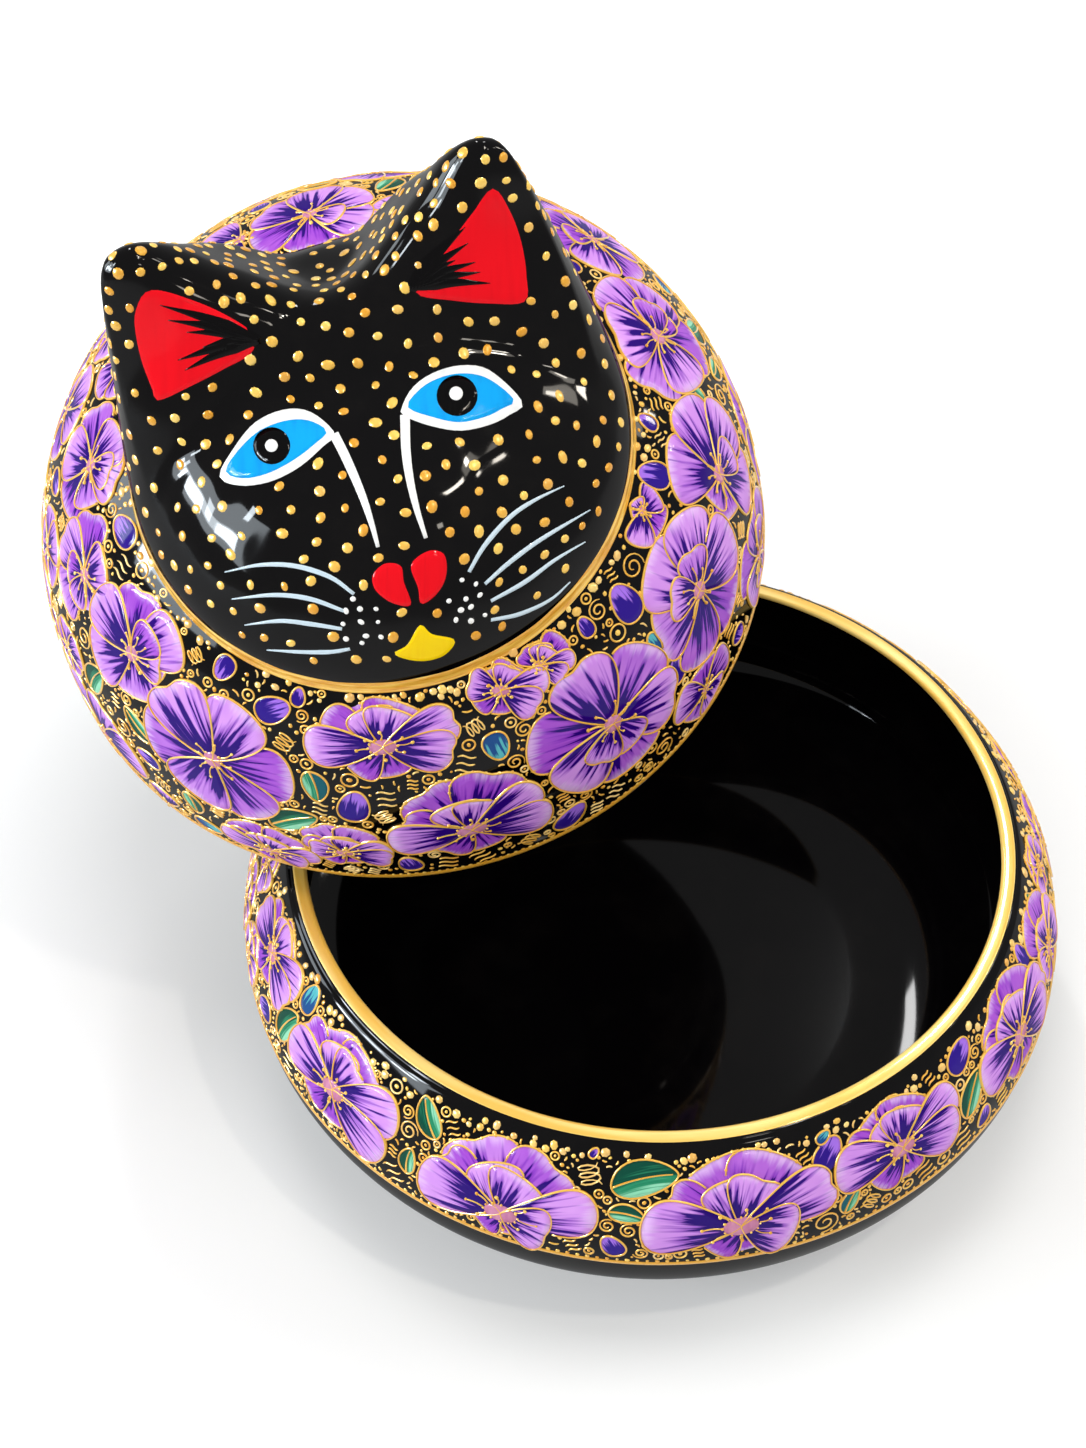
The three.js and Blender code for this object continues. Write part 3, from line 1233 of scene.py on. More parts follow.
# Scrollwork: its line, and the gap from which each kind is used
scroll_half = 0.16
scroll_tip = 0.5
scroll_swell = 2.2
coil_size = 1.7
scroll_size = 1.2
ring_size = 0.6
ring_chance = 0.5
ring_drop = 0.3
middle_scrolls = ("spiral", "rungs", "ring")
large_scrolls = ("spiral", "coil", "coil", "rungs")
rung_turns = (-0.6, 0.6)
scroll_turns = (0, 6.28)
fill_batch = 250
fill_size_spread = (0.8, 1)


class Painter:
    """Paints one surface: keeps its coats of paint, and the places already taken."""

    def __init__(self, surface, room):
        self.surface = surface
        self.room = room
        self.petals = Coat(surface)
        self.leaves = Coat(surface)
        self.buds = Coat(surface)
        self.gold = Coat(surface)
        self.hearts = Coat(surface)
        self.taken = np.zeros((0, 4))
        self.shapes = []
        self.dots = []

    def take(self, centres, radii):
        centres = np.atleast_2d(centres)
        radii = np.broadcast_to(np.asarray(radii, float), (len(centres),))[:, None]
        self.taken = np.concatenate([self.taken, np.concatenate([centres, radii], 1)])

    def gap(self, centres):
        """Distance from points to the nearest painted place."""
        if not len(self.taken):
            return np.full(len(centres), nothing_near)
        away = np.linalg.norm(self.taken[None, :, :3] - centres[:, None], axis=2)
        return (away - self.taken[None, :, 3]).min(1)

    def drop(self, centre, radius, glow=plain_glow):
        """One gold drop, made with all the others at the end."""
        self.dots.append((*centre, radius, dice.uniform(*glow)))

    def under_shapes(self, board, drawn):
        """Which points of a drawing lie under flowers, leaves and buds already painted."""
        pressed = board.press(drawn, 0.0)
        own_reach = np.linalg.norm(drawn, axis=1).max()
        under = np.zeros(len(drawn), bool)
        for other, outline, reach in self.shapes:
            if np.linalg.norm(other.middle - board.middle) < reach + own_reach:
                under |= lies_inside(outline, other.drawn(pressed))
        return under

    def outline_stroke(self, board, outline, covers, lift=layer_lift):
        """The gold outline of a shape, left out where other shapes cover it."""
        height = line_height + lift
        seen = ~self.under_shapes(board, outline) & uncovered(outline, covers)
        if seen.all():
            self.gold.stroke(board.press(outline, 0.0), line_half_width, height, closed=True)
            return
        first = int(np.argmin(seen))
        order = np.roll(np.arange(len(outline)), -first)
        run = []
        for place in list(order) + [order[0]]:
            if seen[place]:
                run.append(place)
                continue
            if len(run) >= shortest_line:
                self.gold.stroke(board.press(outline[run], 0.0), line_half_width, height)
            run = []

    def trimmed(self, board, direction, length, half_width):
        """The length of a petal that stays within the painted band and off other flowers."""
        edge = np.array(petal_edge) * np.array([half_width / length, 1.0])
        for share in shrinking_shares:
            pressed = board.press(turned_drawing(edge * length * share, direction), 0.0)
            if self.room(pressed).min() > band_clear and self.gap(pressed).min() > petal_overlap:
                return length * share
        return 0.0

    def fitted_petals(self, board, radius, kinds):
        """The petals of one flower that find room, each a little different from its kind."""
        petals = []
        for direction, reach, wide, shade in kinds:
            direction = math.radians(direction) + dice.normal(0, petal_turn_spread)
            length = radius * reach * dice.uniform(*petal_length_spread)
            half_width = radius * wide * dice.uniform(*petal_width_spread)
            length = self.trimmed(board, direction, length, half_width)
            if length < radius * shortest_petal:
                continue
            half_width = min(half_width, length * widest_petal)
            sway = dice.normal(0, petal_sway_spread)
            notch = dice.choice(petal_notches)
            shade = np.clip(shade + dice.normal(0, petal_shade_spread), 0, 1)
            petals.append(Petal(direction, length, half_width, sway, notch, shade))
        return petals

    def flower(self, centre, across, turn=0.0, fan=False):
        """A flower seen from the front, or from the side as a fan, with its petals one over another."""
        board = self.surface.spot(centre, turn)
        radius = across / 2
        petals = self.fitted_petals(board, radius, fan_petals if fan else open_petals(across))
        for layer, petal in enumerate(petals):
            lift = layer_lift + layer_step * layer
            covers = [later.fine for later in petals[layer + 1 :]]
            middle = turned_drawing(np.array([[0, petal_middle * petal.length]]), petal.direction)[0]
            self.petals.patch(board, petal.coarse, lift, petal.strokes, petal_rings, middle)
            self.outline_stroke(board, petal.fine, covers, lift)
            places, rooms = petal.spine()
            self.take(board.press(places, 0.0), rooms)
            self.take(board.press(petal.coarse[::2], 0.0), outline_room)
            if fan and layer < beaded_petals:
                self.bead_outline(board, petal.fine, covers)
        self.shapes.extend((board, petal.fine, petal.length) for petal in petals)
        self.heart(board, radius, layer_lift + layer_step * len(petals), fan)

    def bead_outline(self, board, outline, covers):
        """Small gold drops along the outer part of a petal's outline."""
        outer = outline[len(outline) // 4 : -len(outline) // 4 : 2]
        for place in board.press(outer[uncovered(outer, covers)], line_height / 2):
            self.drop(place, dice.uniform(*petal_drop_sizes))

    def heart(self, board, radius, lift, fan):
        """The flower's middle: a pink disc, gold stamens and a ring of gold drops."""
        share, flatness, drops = side_heart if fan else front_heart
        size = radius * share
        flat = np.array([1.0, flatness])
        self.hearts.patch(board, size * ring_drawing(heart_points) * flat, lift, plain_paint, heart_rings)
        count = few_stamens if radius < many_stamens_from else many_stamens
        for place in range(count):
            turn = (place + dice.uniform(*stamen_turn_spread)) * 2 * math.pi / count
            reach = size + radius * dice.uniform(*stamen_reach)
            path = np.array([[0, size], [reach * stamen_bow, (size + reach) / 2], [0, reach]])
            path = turned_drawing(path, turn) * flat
            pressed = board.press(smooth_path(path, stamen_points), 0.0)
            self.gold.stroke(pressed, stamen_half_width, line_height * stamen_height + lift)
            self.drop(board.press(path[-1:], lift)[0], dice.uniform(*stamen_drop_sizes))
        for place in board.press(size * ring_drawing(drops) * flat, lift):
            self.drop(place, dice.uniform(*heart_drop_sizes))

    def eased_off(self, centre, radius):
        """A place near the given one that is clear of what is already painted."""
        for _ in range(easing_tries):
            away = np.linalg.norm(self.taken[:, :3] - centre, axis=1) - self.taken[:, 3] - radius
            nearest = int(np.argmin(away))
            if away[nearest] > 0:
                break
            push = centre - self.taken[nearest, :3]
            step = min(easing_longest, easing_clear - away[nearest])
            centre = centre + push / max(np.linalg.norm(push), tiny) * step
            out = normals_of(self.surface.level, centre[None])
            up = across_ways(out)[1]
            if self.room(centre[None])[0] < radius:
                choices = np.concatenate([centre + up * band_step, centre - up * band_step])
                centre = choices[np.argmax(self.room(choices))]
            centre = settled(self.surface.level, centre[None], out, stroke_settling)[0]
        return centre

    def kept_in_band(self, board, outline):
        """The share of a shape's size that keeps all of it within the painted band."""
        for share in shrinking_shares:
            if self.room(board.press(outline * share, 0.0)).min() > band_clear:
                return share
        return shrinking_shares[-1]

    def oval(self, coat, centre, length, half_width, turn, shade=None):
        """A leaf or a bud: a filled oval with a gold outline, and a gold rib on a leaf."""
        leaf = coat is self.leaves
        board = self.surface.spot(centre, turn)
        shade = dice.uniform(0, 1) if shade is None else shade
        turns = round_turns(oval_points)
        along = -np.cos(turns)
        wide = np.abs(np.sin(turns)) ** (leaf_point if leaf else bud_point)
        wide = wide * (1 - oval_fuller_below * along)
        lean = leaf_lean * length if leaf else 0.0
        across = np.sign(np.sin(turns)) * wide * half_width + lean * along**2
        outline = np.stack([across, along * length / 2], 1)
        share = self.kept_in_band(board, outline)
        outline = outline * share
        length = length * share
        half_width = half_width * share
        lean = lean * share

        def oval_strokes(drawn):
            along = drawn[:, 1] / length + 0.5
            across = (drawn[:, 0] - lean * (along * 2 - 1) ** 2) / half_width
            return np.stack([along, across, np.full(len(drawn), shade)], 1)

        coat.patch(board, outline, oval_lift, oval_strokes, oval_rings)
        self.outline_stroke(board, outline, [])
        if leaf:
            self.rib(board, length, lean)
        self.shapes.append((board, outline, length / 2))
        places = board.press(np.array(oval_spine) * length, 0.0)
        self.take(places, half_width * np.array(oval_spine_rooms))

    def rib(self, board, length, lean):
        """The gold line along a leaf's middle, left out where other shapes cover it."""
        reach = np.linspace(*rib_reach, rib_points)
        path = np.stack([lean * 4 * reach**2, reach * length], 1)
        path = path[~self.under_shapes(board, path)]
        if len(path) >= shortest_line:
            half_widths = np.linspace(*rib_half_widths, len(path))
            self.gold.stroke(board.press(path, 0.0), half_widths, line_height + oval_lift)

    def squiggle(self, centre, size):
        """A piece of gold scrollwork in a gap."""
        if size > coil_size:
            kind = large_scrolls[dice.integers(len(large_scrolls))]
        elif size > scroll_size:
            kind = middle_scrolls[dice.integers(len(middle_scrolls))]
        else:
            kind = "ring" if size > ring_size and dice.uniform() < ring_chance else "dash"
        turn = dice.uniform(*(rung_turns if kind == "rungs" else scroll_turns))
        board = self.surface.spot(centre, turn)
        # A tint picked at random; high tints turn the gold cream, partly a painted glare highlight
        glow = dice.uniform(0, 1)
        for path, closed in scroll_paths(kind):
            share = np.linspace(0, 1, len(path))
            taper = np.minimum(1, scroll_tip + scroll_swell * np.minimum(share, 1 - share))
            half_width = scroll_half if closed else scroll_half * taper
            self.gold.stroke(board.press(path * size, 0.0), half_width, line_height, closed, glow)
        if kind == "ring":
            self.drop(centre, size * ring_drop)

    def fill(self, sample, make, tries, sizes, margin, room_share):
        """Throw places at the band and make something in each gap, the widest gaps first."""
        centres = np.array([sample() for _ in range(tries)])
        rooms = self.room(centres) / room_share
        batches = np.array_split(centres, tries // fill_batch)
        gaps = np.concatenate([self.gap(batch) for batch in batches])
        gaps = np.minimum(gaps - margin, rooms)
        smallest, largest = sizes
        for place in np.argsort(-gaps):
            if gaps[place] < smallest:
                break
            centre = centres[place]
            gap = self.gap(centre[None])[0] - margin
            size = min(gap, rooms[place], largest * dice.uniform(*fill_size_spread))
            if size < smallest:
                continue
            make(centre, size)
            self.take(centre, size)

    def finish(self, name, materials, slot):
        dots = np.array(self.dots)
        self.gold.beads(dots[:, :3], dots[:, 3], dots[:, 4], sides=small_drop_sides)
        for part, material in materials.items():
            getattr(self, part).make(name + "_" + part, material, slot)


# Paints

petal_pale = ("E4AAF2", "C682E6")
petal_deep = ("BA64DA", "8A32C6")
petal_rim = "ECCDF8"
petal_violet = "7622B8"
petal_indigo = "280674"
leaf_greens = ("0B4A3A", "125C6A")
leaf_middle = "2C9068"
leaf_light = ("6CC79C", "A6E6C6")
bud_dark = ("2E1688", "1B4E8C")
bud_light = ("A471E6", "57B7C0")
heart_pinks = ("B45E92", "E4A4BE")
lacquer_blacks = ("040304", "0A0808")
# Cream that gold strokes and drops of high tint turn towards: partly paler gold, partly a painted glare
# highlight
gold_cream = "FCE4A0"
# How far brush strokes reach along a petal or a bud: how much they differ, and where they start
petal_stroke_reach = (1.75, -0.34)
bud_stroke_reach = (1.7, -0.18)
# Where each shade gives way to the next, from where it starts to where it is full
petal_deep_from = (0.35, 0.75)
petal_violet_end = (-0.02, 0.3)
petal_indigo_end = (-0.06, 0.03)
petal_rim_from = (1.05, 1.25)
leaf_blue_from = (0.5, 0.7)
leaf_middle_from = (0.5, 1.1)
leaf_light_from = (1.05, 1.5)
bud_teal_from = (0.82, 0.88)
bud_light_from = (-0.12, 0.12)
gold_bright_from = (0.35, 0.7)
gold_cream_from = (0.6, 0.95)
streak_from = (0.42, 0.72)
# How much of a shade shows, and how far the brush's streaks push where it starts
petal_violet_share = 0.72
petal_rim_share = 0.7
petal_rim_streaks = 0.5
leaf_streaks = 1.6
gold_cream_share = 0.5


def black_lacquer():
    """Black lacquer with a faint bloom, under its clear coat."""
    material, tree, shader = new_material("black_lacquer")
    skin = lay_skin(tree, shader, *lacquer_feel)
    feed(tree, shader, "Base Color", blend_tints(tree, skin.outputs["Bloom"], lacquer_blacks))
    varnish(shader, lacquer_coat, covered_shine)
    return material


def gold_paint(name, shades, hairs, metal):
    """Gold brush paint, streaked along each stroke; strokes and drops of high tint turn cream, partly paler
    gold and partly a painted glare highlight.
    """
    material, tree, shader = new_material(name)
    lay_skin(tree, shader, *gold_feel)
    brush = lay_brush(tree, hairs)
    streak = stepped(tree, brush.outputs["Streak"], *gold_bright_from)
    # Cream where the stroke's tint is high: partly paler gold, partly a painted glare highlight
    cream_and_glare = stepped(tree, brush.outputs["Tint"], *gold_cream_from)
    cream = maths(tree, "MULTIPLY", cream_and_glare, gold_cream_share)
    colour = blend_colours(tree, cream, blend_tints(tree, streak, shades), tint(gold_cream))
    feed(tree, shader, "Base Color", colour)
    shader.inputs["Metallic"].default_value = metal
    varnish(shader, gold_coat, gold_shine)
    return material


def new_paint(name, feel, hairs):
    """A material for brush paint under clear lacquer, which still needs its colour, and its brush."""
    material, tree, shader = new_material(name)
    lay_skin(tree, shader, *feel)
    varnish(shader, paint_coat, covered_shine)
    return material, tree, shader, lay_brush(tree, hairs)


def past_strokes(tree, brush, reach):
    """How far a point lies past the end of the brush stroke it is on."""
    spread, start = reach
    stroke_end = maths(tree, "ADD", maths(tree, "MULTIPLY", brush.outputs["Streak"], spread), start)
    return maths(tree, "SUBTRACT", brush.outputs["Along"], stroke_end)


def petal_paint():
    """Lilac petals, paler at the rim, with indigo brush strokes from the root."""
    material, tree, shader, brush = new_paint("petal_paint", paint_feel, hairs=3.6)
    wash = brush.outputs["Wash"]
    pale = blend_tints(tree, wash, petal_pale)
    deep = blend_tints(tree, wash, petal_deep)
    colour = blend_colours(tree, stepped(tree, brush.outputs["Tint"], *petal_deep_from), pale, deep)
    rim_streak = maths(tree, "MULTIPLY", brush.outputs["Streak"], petal_rim_streaks)
    rim = stepped(tree, maths(tree, "ADD", brush.outputs["Along"], rim_streak), *petal_rim_from)
    colour = blend_colours(tree, maths(tree, "MULTIPLY", rim, petal_rim_share), colour, tint(petal_rim))
    past = past_strokes(tree, brush, petal_stroke_reach)
    violet = maths(tree, "SUBTRACT", 1.0, stepped(tree, past, *petal_violet_end))
    violet = maths(tree, "MULTIPLY", violet, petal_violet_share)
    colour = blend_colours(tree, violet, colour, tint(petal_violet))
    indigo = maths(tree, "SUBTRACT", 1.0, stepped(tree, past, *petal_indigo_end))
    feed(tree, shader, "Base Color", blend_colours(tree, indigo, colour, tint(petal_indigo)))
    return material


def leaf_paint():
    """Dark green leaves with lighter brush strokes on one side of the rib."""
    material, tree, shader, brush = new_paint("leaf_paint", paint_feel, hairs=4.0)
    stroke = add_node(tree, "ShaderNodeAttribute", {"attribute_name": "paint"})
    parts = add_node(tree, "ShaderNodeSeparateXYZ", Vector=stroke.outputs["Vector"])
    streaks = maths(tree, "MULTIPLY", brush.outputs["Streak"], leaf_streaks)
    side = maths(tree, "ADD", parts.outputs["Y"], streaks)
    green = blend_tints(tree, stepped(tree, brush.outputs["Tint"], *leaf_blue_from), leaf_greens)
    middle = blend_colours(tree, stepped(tree, side, *leaf_middle_from), green, tint(leaf_middle))
    light = blend_tints(tree, brush.outputs["Wash"], leaf_light)
    colour = blend_colours(tree, stepped(tree, side, *leaf_light_from), middle, light)
    feed(tree, shader, "Base Color", colour)
    return material


def bud_paint():
    """Violet and teal buds with dark brush strokes from the root and a pale tip."""
    material, tree, shader, brush = new_paint("bud_paint", paint_feel, hairs=3.0)
    teal = stepped(tree, brush.outputs["Tint"], *bud_teal_from)
    past = past_strokes(tree, brush, bud_stroke_reach)
    dark = blend_tints(tree, teal, bud_dark)
    light = blend_tints(tree, teal, bud_light)
    feed(tree, shader, "Base Color", blend_colours(tree, stepped(tree, past, *bud_light_from), dark, light))
    return material


def heart_paint():
    material, tree, shader, brush = new_paint("heart_paint", heart_feel, hairs=2.0)
    feed(tree, shader, "Base Color", blend_tints(tree, brush.outputs["Streak"], heart_pinks))
    return material


def brushed_paint(name, shades, hairs):
    """One flat colour as a brush leaves it: streaks of a second shade under the lacquer."""
    material, tree, shader, brush = new_paint(name, face_feel, hairs)
    streak = stepped(tree, brush.outputs["Streak"], *streak_from)
    share = maths(tree, "MULTIPLY", streak, brush.outputs["Wash"])
    feed(tree, shader, "Base Color", blend_tints(tree, share, shades))
    return material


# Where the paint goes on the lid and the bowl

head_line_width = 0.5
head_line_strokes = 6.0
lid_edge_clear = 2.2
bowl_line_height = 21.0
bowl_band_low = 22.4
bowl_band_high = 39.3
head_line_clear = 0.2
# The part of the dome's arc, in radians from its edge, where paint is thrown
lid_arc = (0.02, 1.45)
# How far outside the band a listed thing may lie
listed_outside = -0.5
# Listed leaves and buds: half width, and how far they keep off other paint, as shares of the length
leaf_width = 0.29
leaf_apart = 0.3
bud_width = 0.34
bud_apart = 0.34
# Flowers, leaves and buds that fill gaps, as shares of the gap
spare_flower_width = 2.2
spare_flower_turns = (-0.4, 0.4)
spare_leaf_share = 0.25
spare_leaf_length = 2.2
spare_bud_length = 1.9
spare_oval_width = 0.7
# Fillings of the gaps: places tried, sizes, how far they keep off other paint, and share of the room taken
flower_fill = (1500, (4.6, 11.0), -0.8, 0.45)
oval_fill = (4000, (2.3, 3.2), 0.15, 0.8)
scroll_fill = (16000, (0.45, 2.6), 0.0, 0.8)
drop_fill = (12000, (0.22, 0.42), 0.05, 1.0)
# Heaps of gold drops
cluster_share = 0.6
cluster_spread = 0.75
cluster_sizes = (0.4, 0.85)
cluster_counts = (1, 4)
cluster_apart = 0.6
cluster_outside = -0.4
# The gold line round the head, and its cross section: height up the head's side, distance out from it, lift
head_line_steps = 320
head_line_shade = 0.4
head_line_rows = (
    (0.0, 0.5, paint_sink),
    (0.0, 0.42, 0.2),
    (0.4, 0.26, 0.0),
    (0.85, 0.2, 0.0),
    (1.25, 0.16, 0.04),
    (1.65, 0.12, 0.05),
    (1.9, -0.08, -0.1),
)
climb_from = 0.8
climb_halvings = 24
# Radius from which points of a turned surface are brought onto it
ring_start = 60.0


def lid_room(points):
    """Distance inside the lid's flower band, from the head's gold line and the lid's edge."""
    x, y = lid_to_head(points[:, 0], points[:, 1])
    out = np.maximum(np.hypot(x, y), tiny)
    reach = head_reach(np.arctan2(x, -y)) + head_line_width
    line_x, line_y = head_to_lid(x / out * reach, y / out * reach)
    away = np.hypot(out - reach, points[:, 2] - dome_top(line_x, line_y))
    from_head = np.where(out > reach, away, -away) - head_line_clear
    return np.minimum(from_head, points[:, 2] - lid_edge_clear)


def bowl_room(points):
    """Distance inside the bowl's flower band."""
    return np.minimum(points[:, 2] - bowl_band_low, bowl_band_high - points[:, 2])


def lid_sample():
    """A random place on the dome."""
    turn = dice.uniform(0, 2 * math.pi)
    arc = dice.uniform(*lid_arc)
    out = lid_radius * math.cos(arc) ** (2 / dome_fullness)
    height = dome_height * math.sin(arc) ** (2 / dome_fullness)
    return np.array([out * math.cos(turn), out * math.sin(turn), height])


def bowl_sample():
    """A random place in the bowl's band."""
    turn = dice.uniform(0, 2 * math.pi)
    height = dice.uniform(bowl_band_low, bowl_band_high)
    out = float(bowl_outer(np.array(height)))
    return np.array([out * math.cos(turn), out * math.sin(turn), height])


# Flowers seen in the photograph: across, down, width in millimetres, turn in degrees, seen from the side
lid_flowers = (
    (213, 759, 26, 0, False),
    (383, 746, 23, 0, True),
    (472, 828, 26, 0, True),
    (612, 723, 27, 20, False),
    (698, 590, 25, 10, False),
    (718, 474, 25, 0, False),
    (657, 337, 25, 0, False),
    (133, 653, 22, 0, False),
    (86, 575, 20, 0, False),
    (112, 748, 21, 0, False),
    (168, 802, 12, 0, False),
    (272, 849, 17, 0, True),
    (345, 851, 16, 0, True),
    (92, 465, 20, 0, False),
    (310, 215, 20, 0, False),
    (240, 240, 18, 0, False),
    (592, 240, 19, 0, False),
    (500, 690, 15, 30, True),
    (540, 665, 11, 40, True),
)
bowl_flowers = (
    (501, 1212, 29, 0, True),
    (741, 1225, 30, 0, True),
    (334, 1089, 26, 0, True),
    (274, 953, 20, 0, True),
    (902, 1147, 24, 0, True),
    (1019, 1034, 24, 0, True),
    (1047, 947, 18, 0, True),
)
# Leaves and buds seen in the photograph: across, down, length in millimetres, turn in degrees, shade
lid_leaves = (
    (288, 814, 9, 60, 0.3),
    (142, 731, 7, -60, 0.3),
    (94, 677, 8, 20, 0.3),
    (97, 480, 7, 10, 0.3),
    (694, 337, 8, -30, 0.3),
    (698, 404, 6, 20, 0.9),
)
bowl_leaves = (
    (428, 1118, 10, -35, 0.2),
    (644, 1178, 11, 75, 0.2),
    (627, 1214, 5.5, 100, 0.4),
    (973, 1092, 8, 40, 0.3),
    (1033, 912, 9, 0, 0.3),
    (291, 1024, 8, 20, 0.3),
    (850, 1200, 5, 30, 0.9),
    (407, 1160, 5, 0, 0.4),
)
lid_buds = (
    (626, 603, 7, 0, 0.3),
    (652, 465, 9, -20, 0.2),
    (648, 422, 7, 10, 0.3),
    (298, 697, 6, 10, 0.3),
    (354, 807, 7, 15, 0.5),
    (571, 816, 7, 40, 0.1),
    (586, 627, 3.6, 0, 0.6),
    (658, 645, 4, 0, 0.9),
    (679, 675, 6, 30, 0.3),
)
bowl_buds = (
    (312, 979, 7, 0, 0.9),
    (594, 1153, 5, 30, 0.5),
    (678, 1153, 5, -20, 0.4),
    (823, 1137, 7, 60, 0.9),
    (831, 1162, 6, 40, 0.5),
    (959, 1056, 8, 60, 0.3),
    (1019, 936, 6, 0, 0.4),
    (386, 1181, 9, -30, 0.2),
)


def seen_places(painter, listed):
    """The listed things with their places on the surface, without those whose ray misses it."""
    places = painter.surface.under_pixels([item[:2] for item in listed])
    rooms = painter.room(places)
    for item, place, room in zip(listed, places, rooms):
        if room > listed_outside:
            yield place, item[2:]


def paint_band(painter, sample, flowers, leaves, buds, fan_fill, bead_path):
    """Flowers, leaves and buds where the photograph has them, then the same kinds all round."""
    for place, (width, turn, fan) in seen_places(painter, flowers):
        painter.flower(place, width, math.radians(turn), fan)
    for coat, listed, wide, apart in (
        (painter.leaves, leaves, leaf_width, leaf_apart),
        (painter.buds, buds, bud_width, bud_apart),
    ):
        for place, (length, turn, shade) in seen_places(painter, listed):
            place = painter.eased_off(place, length * apart)
            painter.oval(coat, place, length, length * wide, math.radians(turn), shade)

    def spare_flower(centre, size):
        painter.flower(centre, size * spare_flower_width, dice.uniform(*spare_flower_turns), fan_fill)

    def spare_oval(centre, size):
        turn = dice.uniform(0, 2 * math.pi)
        leaf = dice.uniform() < spare_leaf_share
        coat = painter.leaves if leaf else painter.buds
        length = size * (spare_leaf_length if leaf else spare_bud_length)
        painter.oval(coat, centre, length, size * spare_oval_width, turn)

    painter.fill(sample, spare_flower, *flower_fill)
    painter.fill(sample, spare_oval, *oval_fill)
    bead_clusters(painter, bead_path)
    painter.fill(sample, painter.squiggle, *scroll_fill)
    painter.fill(sample, painter.drop, *drop_fill)


def level_ring(surface, height, steps=240):
    """Points round a turned surface at one height."""
    turns = round_turns(steps)
    outward = np.stack([np.cos(turns), np.sin(turns), np.zeros(steps)], 1)
    start = outward * ring_start + np.array([0.0, 0.0, height])
    return settled(surface.level, start, outward)


def bead_row(painter, height, spacing, sizes):
    """A row of gold drops round a turned surface."""
    radius = np.hypot(*level_ring(painter.surface, height, 4)[0, :2])
    for place in level_ring(painter.surface, height, int(2 * math.pi * radius / spacing)):
        painter.drop(place, dice.uniform(*sizes))


def head_outline(extra, steps):
    """Points on the dome along the head's outline, a little further out."""
    turns = chin_turns(steps)
    x, y = round_head(head_reach(turns) + extra, turns)
    return np.stack([x, y, dome_top(x, y)], 1)


def head_climb(turns, rise):
    """How far out from the head's middle its side stands at a height over the dome."""
    reach = head_reach(turns)
    low = np.full(len(turns), climb_from)
    high = np.ones(len(turns))
    for _ in range(climb_halvings):
        middle = (low + high) / 2
        x, y = round_head(middle * reach, turns)
        above = head_top(x, y) - dome_top(x, y) > rise
        low = np.where(above, middle, low)
        high = np.where(above, high, middle)
    return high * reach


def head_line(coat):
    """The gold line that runs round the head's foot and a little way up its side."""
    turns = chin_turns(head_line_steps)
    rows = []
    for rise, out, lift in head_line_rows:
        reach = head_climb(turns, max(rise, head_edge)) + out
        x, y = round_head(reach, turns)
        rows.append(np.stack([x, y, dome_top(x, y) + rise + lift], 1))
    points, faces = ringed(rows)
    along = np.tile(np.abs(turns) * head_line_strokes, len(rows))
    across = np.repeat(np.linspace(-1, 1, len(rows)), head_line_steps)
    coat.add(points, faces, np.stack([along, across, np.full(len(points), head_line_shade)], 1))


def bead_clusters(painter, path):
    """Small heaps of gold drops at random places along a path, mostly cream: partly paler gold and partly a
    painted glare highlight.
    """
    for place in path[dice.choice(len(path), int(len(path) * cluster_share), replace=False)]:
        for _ in range(dice.integers(*cluster_counts)):
            drop = place + dice.normal(0, cluster_spread, 3)
            out = normals_of(painter.surface.level, drop[None])
            drop = settled(painter.surface.level, drop[None], out)[0]
            size = dice.uniform(*cluster_sizes)
            clear = painter.gap(drop[None])[0] > size * cluster_apart
            if clear and painter.room(drop[None])[0] > cluster_outside:
                painter.drop(drop, size, cream_glow)
                painter.take(drop, size)


# The face, drawn over the photograph and pressed onto the head

left_eye = (
    (219, 477), (232, 450), (255, 422), (285, 409), (312, 412),
    (336, 434), (325, 445), (300, 467), (270, 482), (240, 486),
)
left_iris = (
    (225, 472), (238, 450), (260, 430), (287, 420), (310, 420),
    (328, 431), (316, 444), (295, 460), (268, 474), (243, 479),
)
left_pupil = (272, 446, 19)
left_glint = (272, 446, 6.5)
right_eye = (
    (400, 412), (410, 390), (430, 374), (460, 365), (490, 370), (523, 402),
    (510, 415), (490, 425), (460, 431), (430, 426), (405, 417),
)
right_iris = (
    (407, 408), (415, 393), (433, 380), (460, 373), (488, 378),
    (515, 400), (503, 409), (487, 417), (460, 423), (433, 418),
)
right_pupil = (457, 396, 21)
right_glint = (456, 394, 7)
tears = (
    ((334, 434), (347, 460), (362, 495), (372, 525), (378, 547)),
    ((405, 415), (406, 450), (410, 480), (417, 510), (426, 538)),
)
nostrils = (
    ((387, 563), (401, 566), (404, 582), (411, 605), (392, 603), (376, 591), (372, 578), (377, 569)),
    ((411, 565), (428, 551), (443, 553), (447, 567), (444, 583), (434, 597), (421, 604), (418, 588)),
)
mouth = ((420, 625), (432, 634), (455, 640), (445, 655), (425, 661), (405, 659), (394, 653), (407, 645))
whiskers = (
    ((354, 594), (330, 577), (295, 566), (260, 565), (225, 572)),
    ((344, 611), (310, 599), (275, 595), (232, 599)),
    ((342, 629), (310, 624), (280, 621), (245, 625)),
    ((350, 649), (330, 652), (300, 652), (267, 650)),
    ((469, 572), (485, 545), (510, 517), (535, 500), (564, 486)),
    ((485, 584), (510, 562), (540, 540), (590, 510)),
    ((491, 601), (525, 582), (555, 560), (585, 542)),
    ((491, 620), (520, 614), (550, 600), (570, 582)),
)
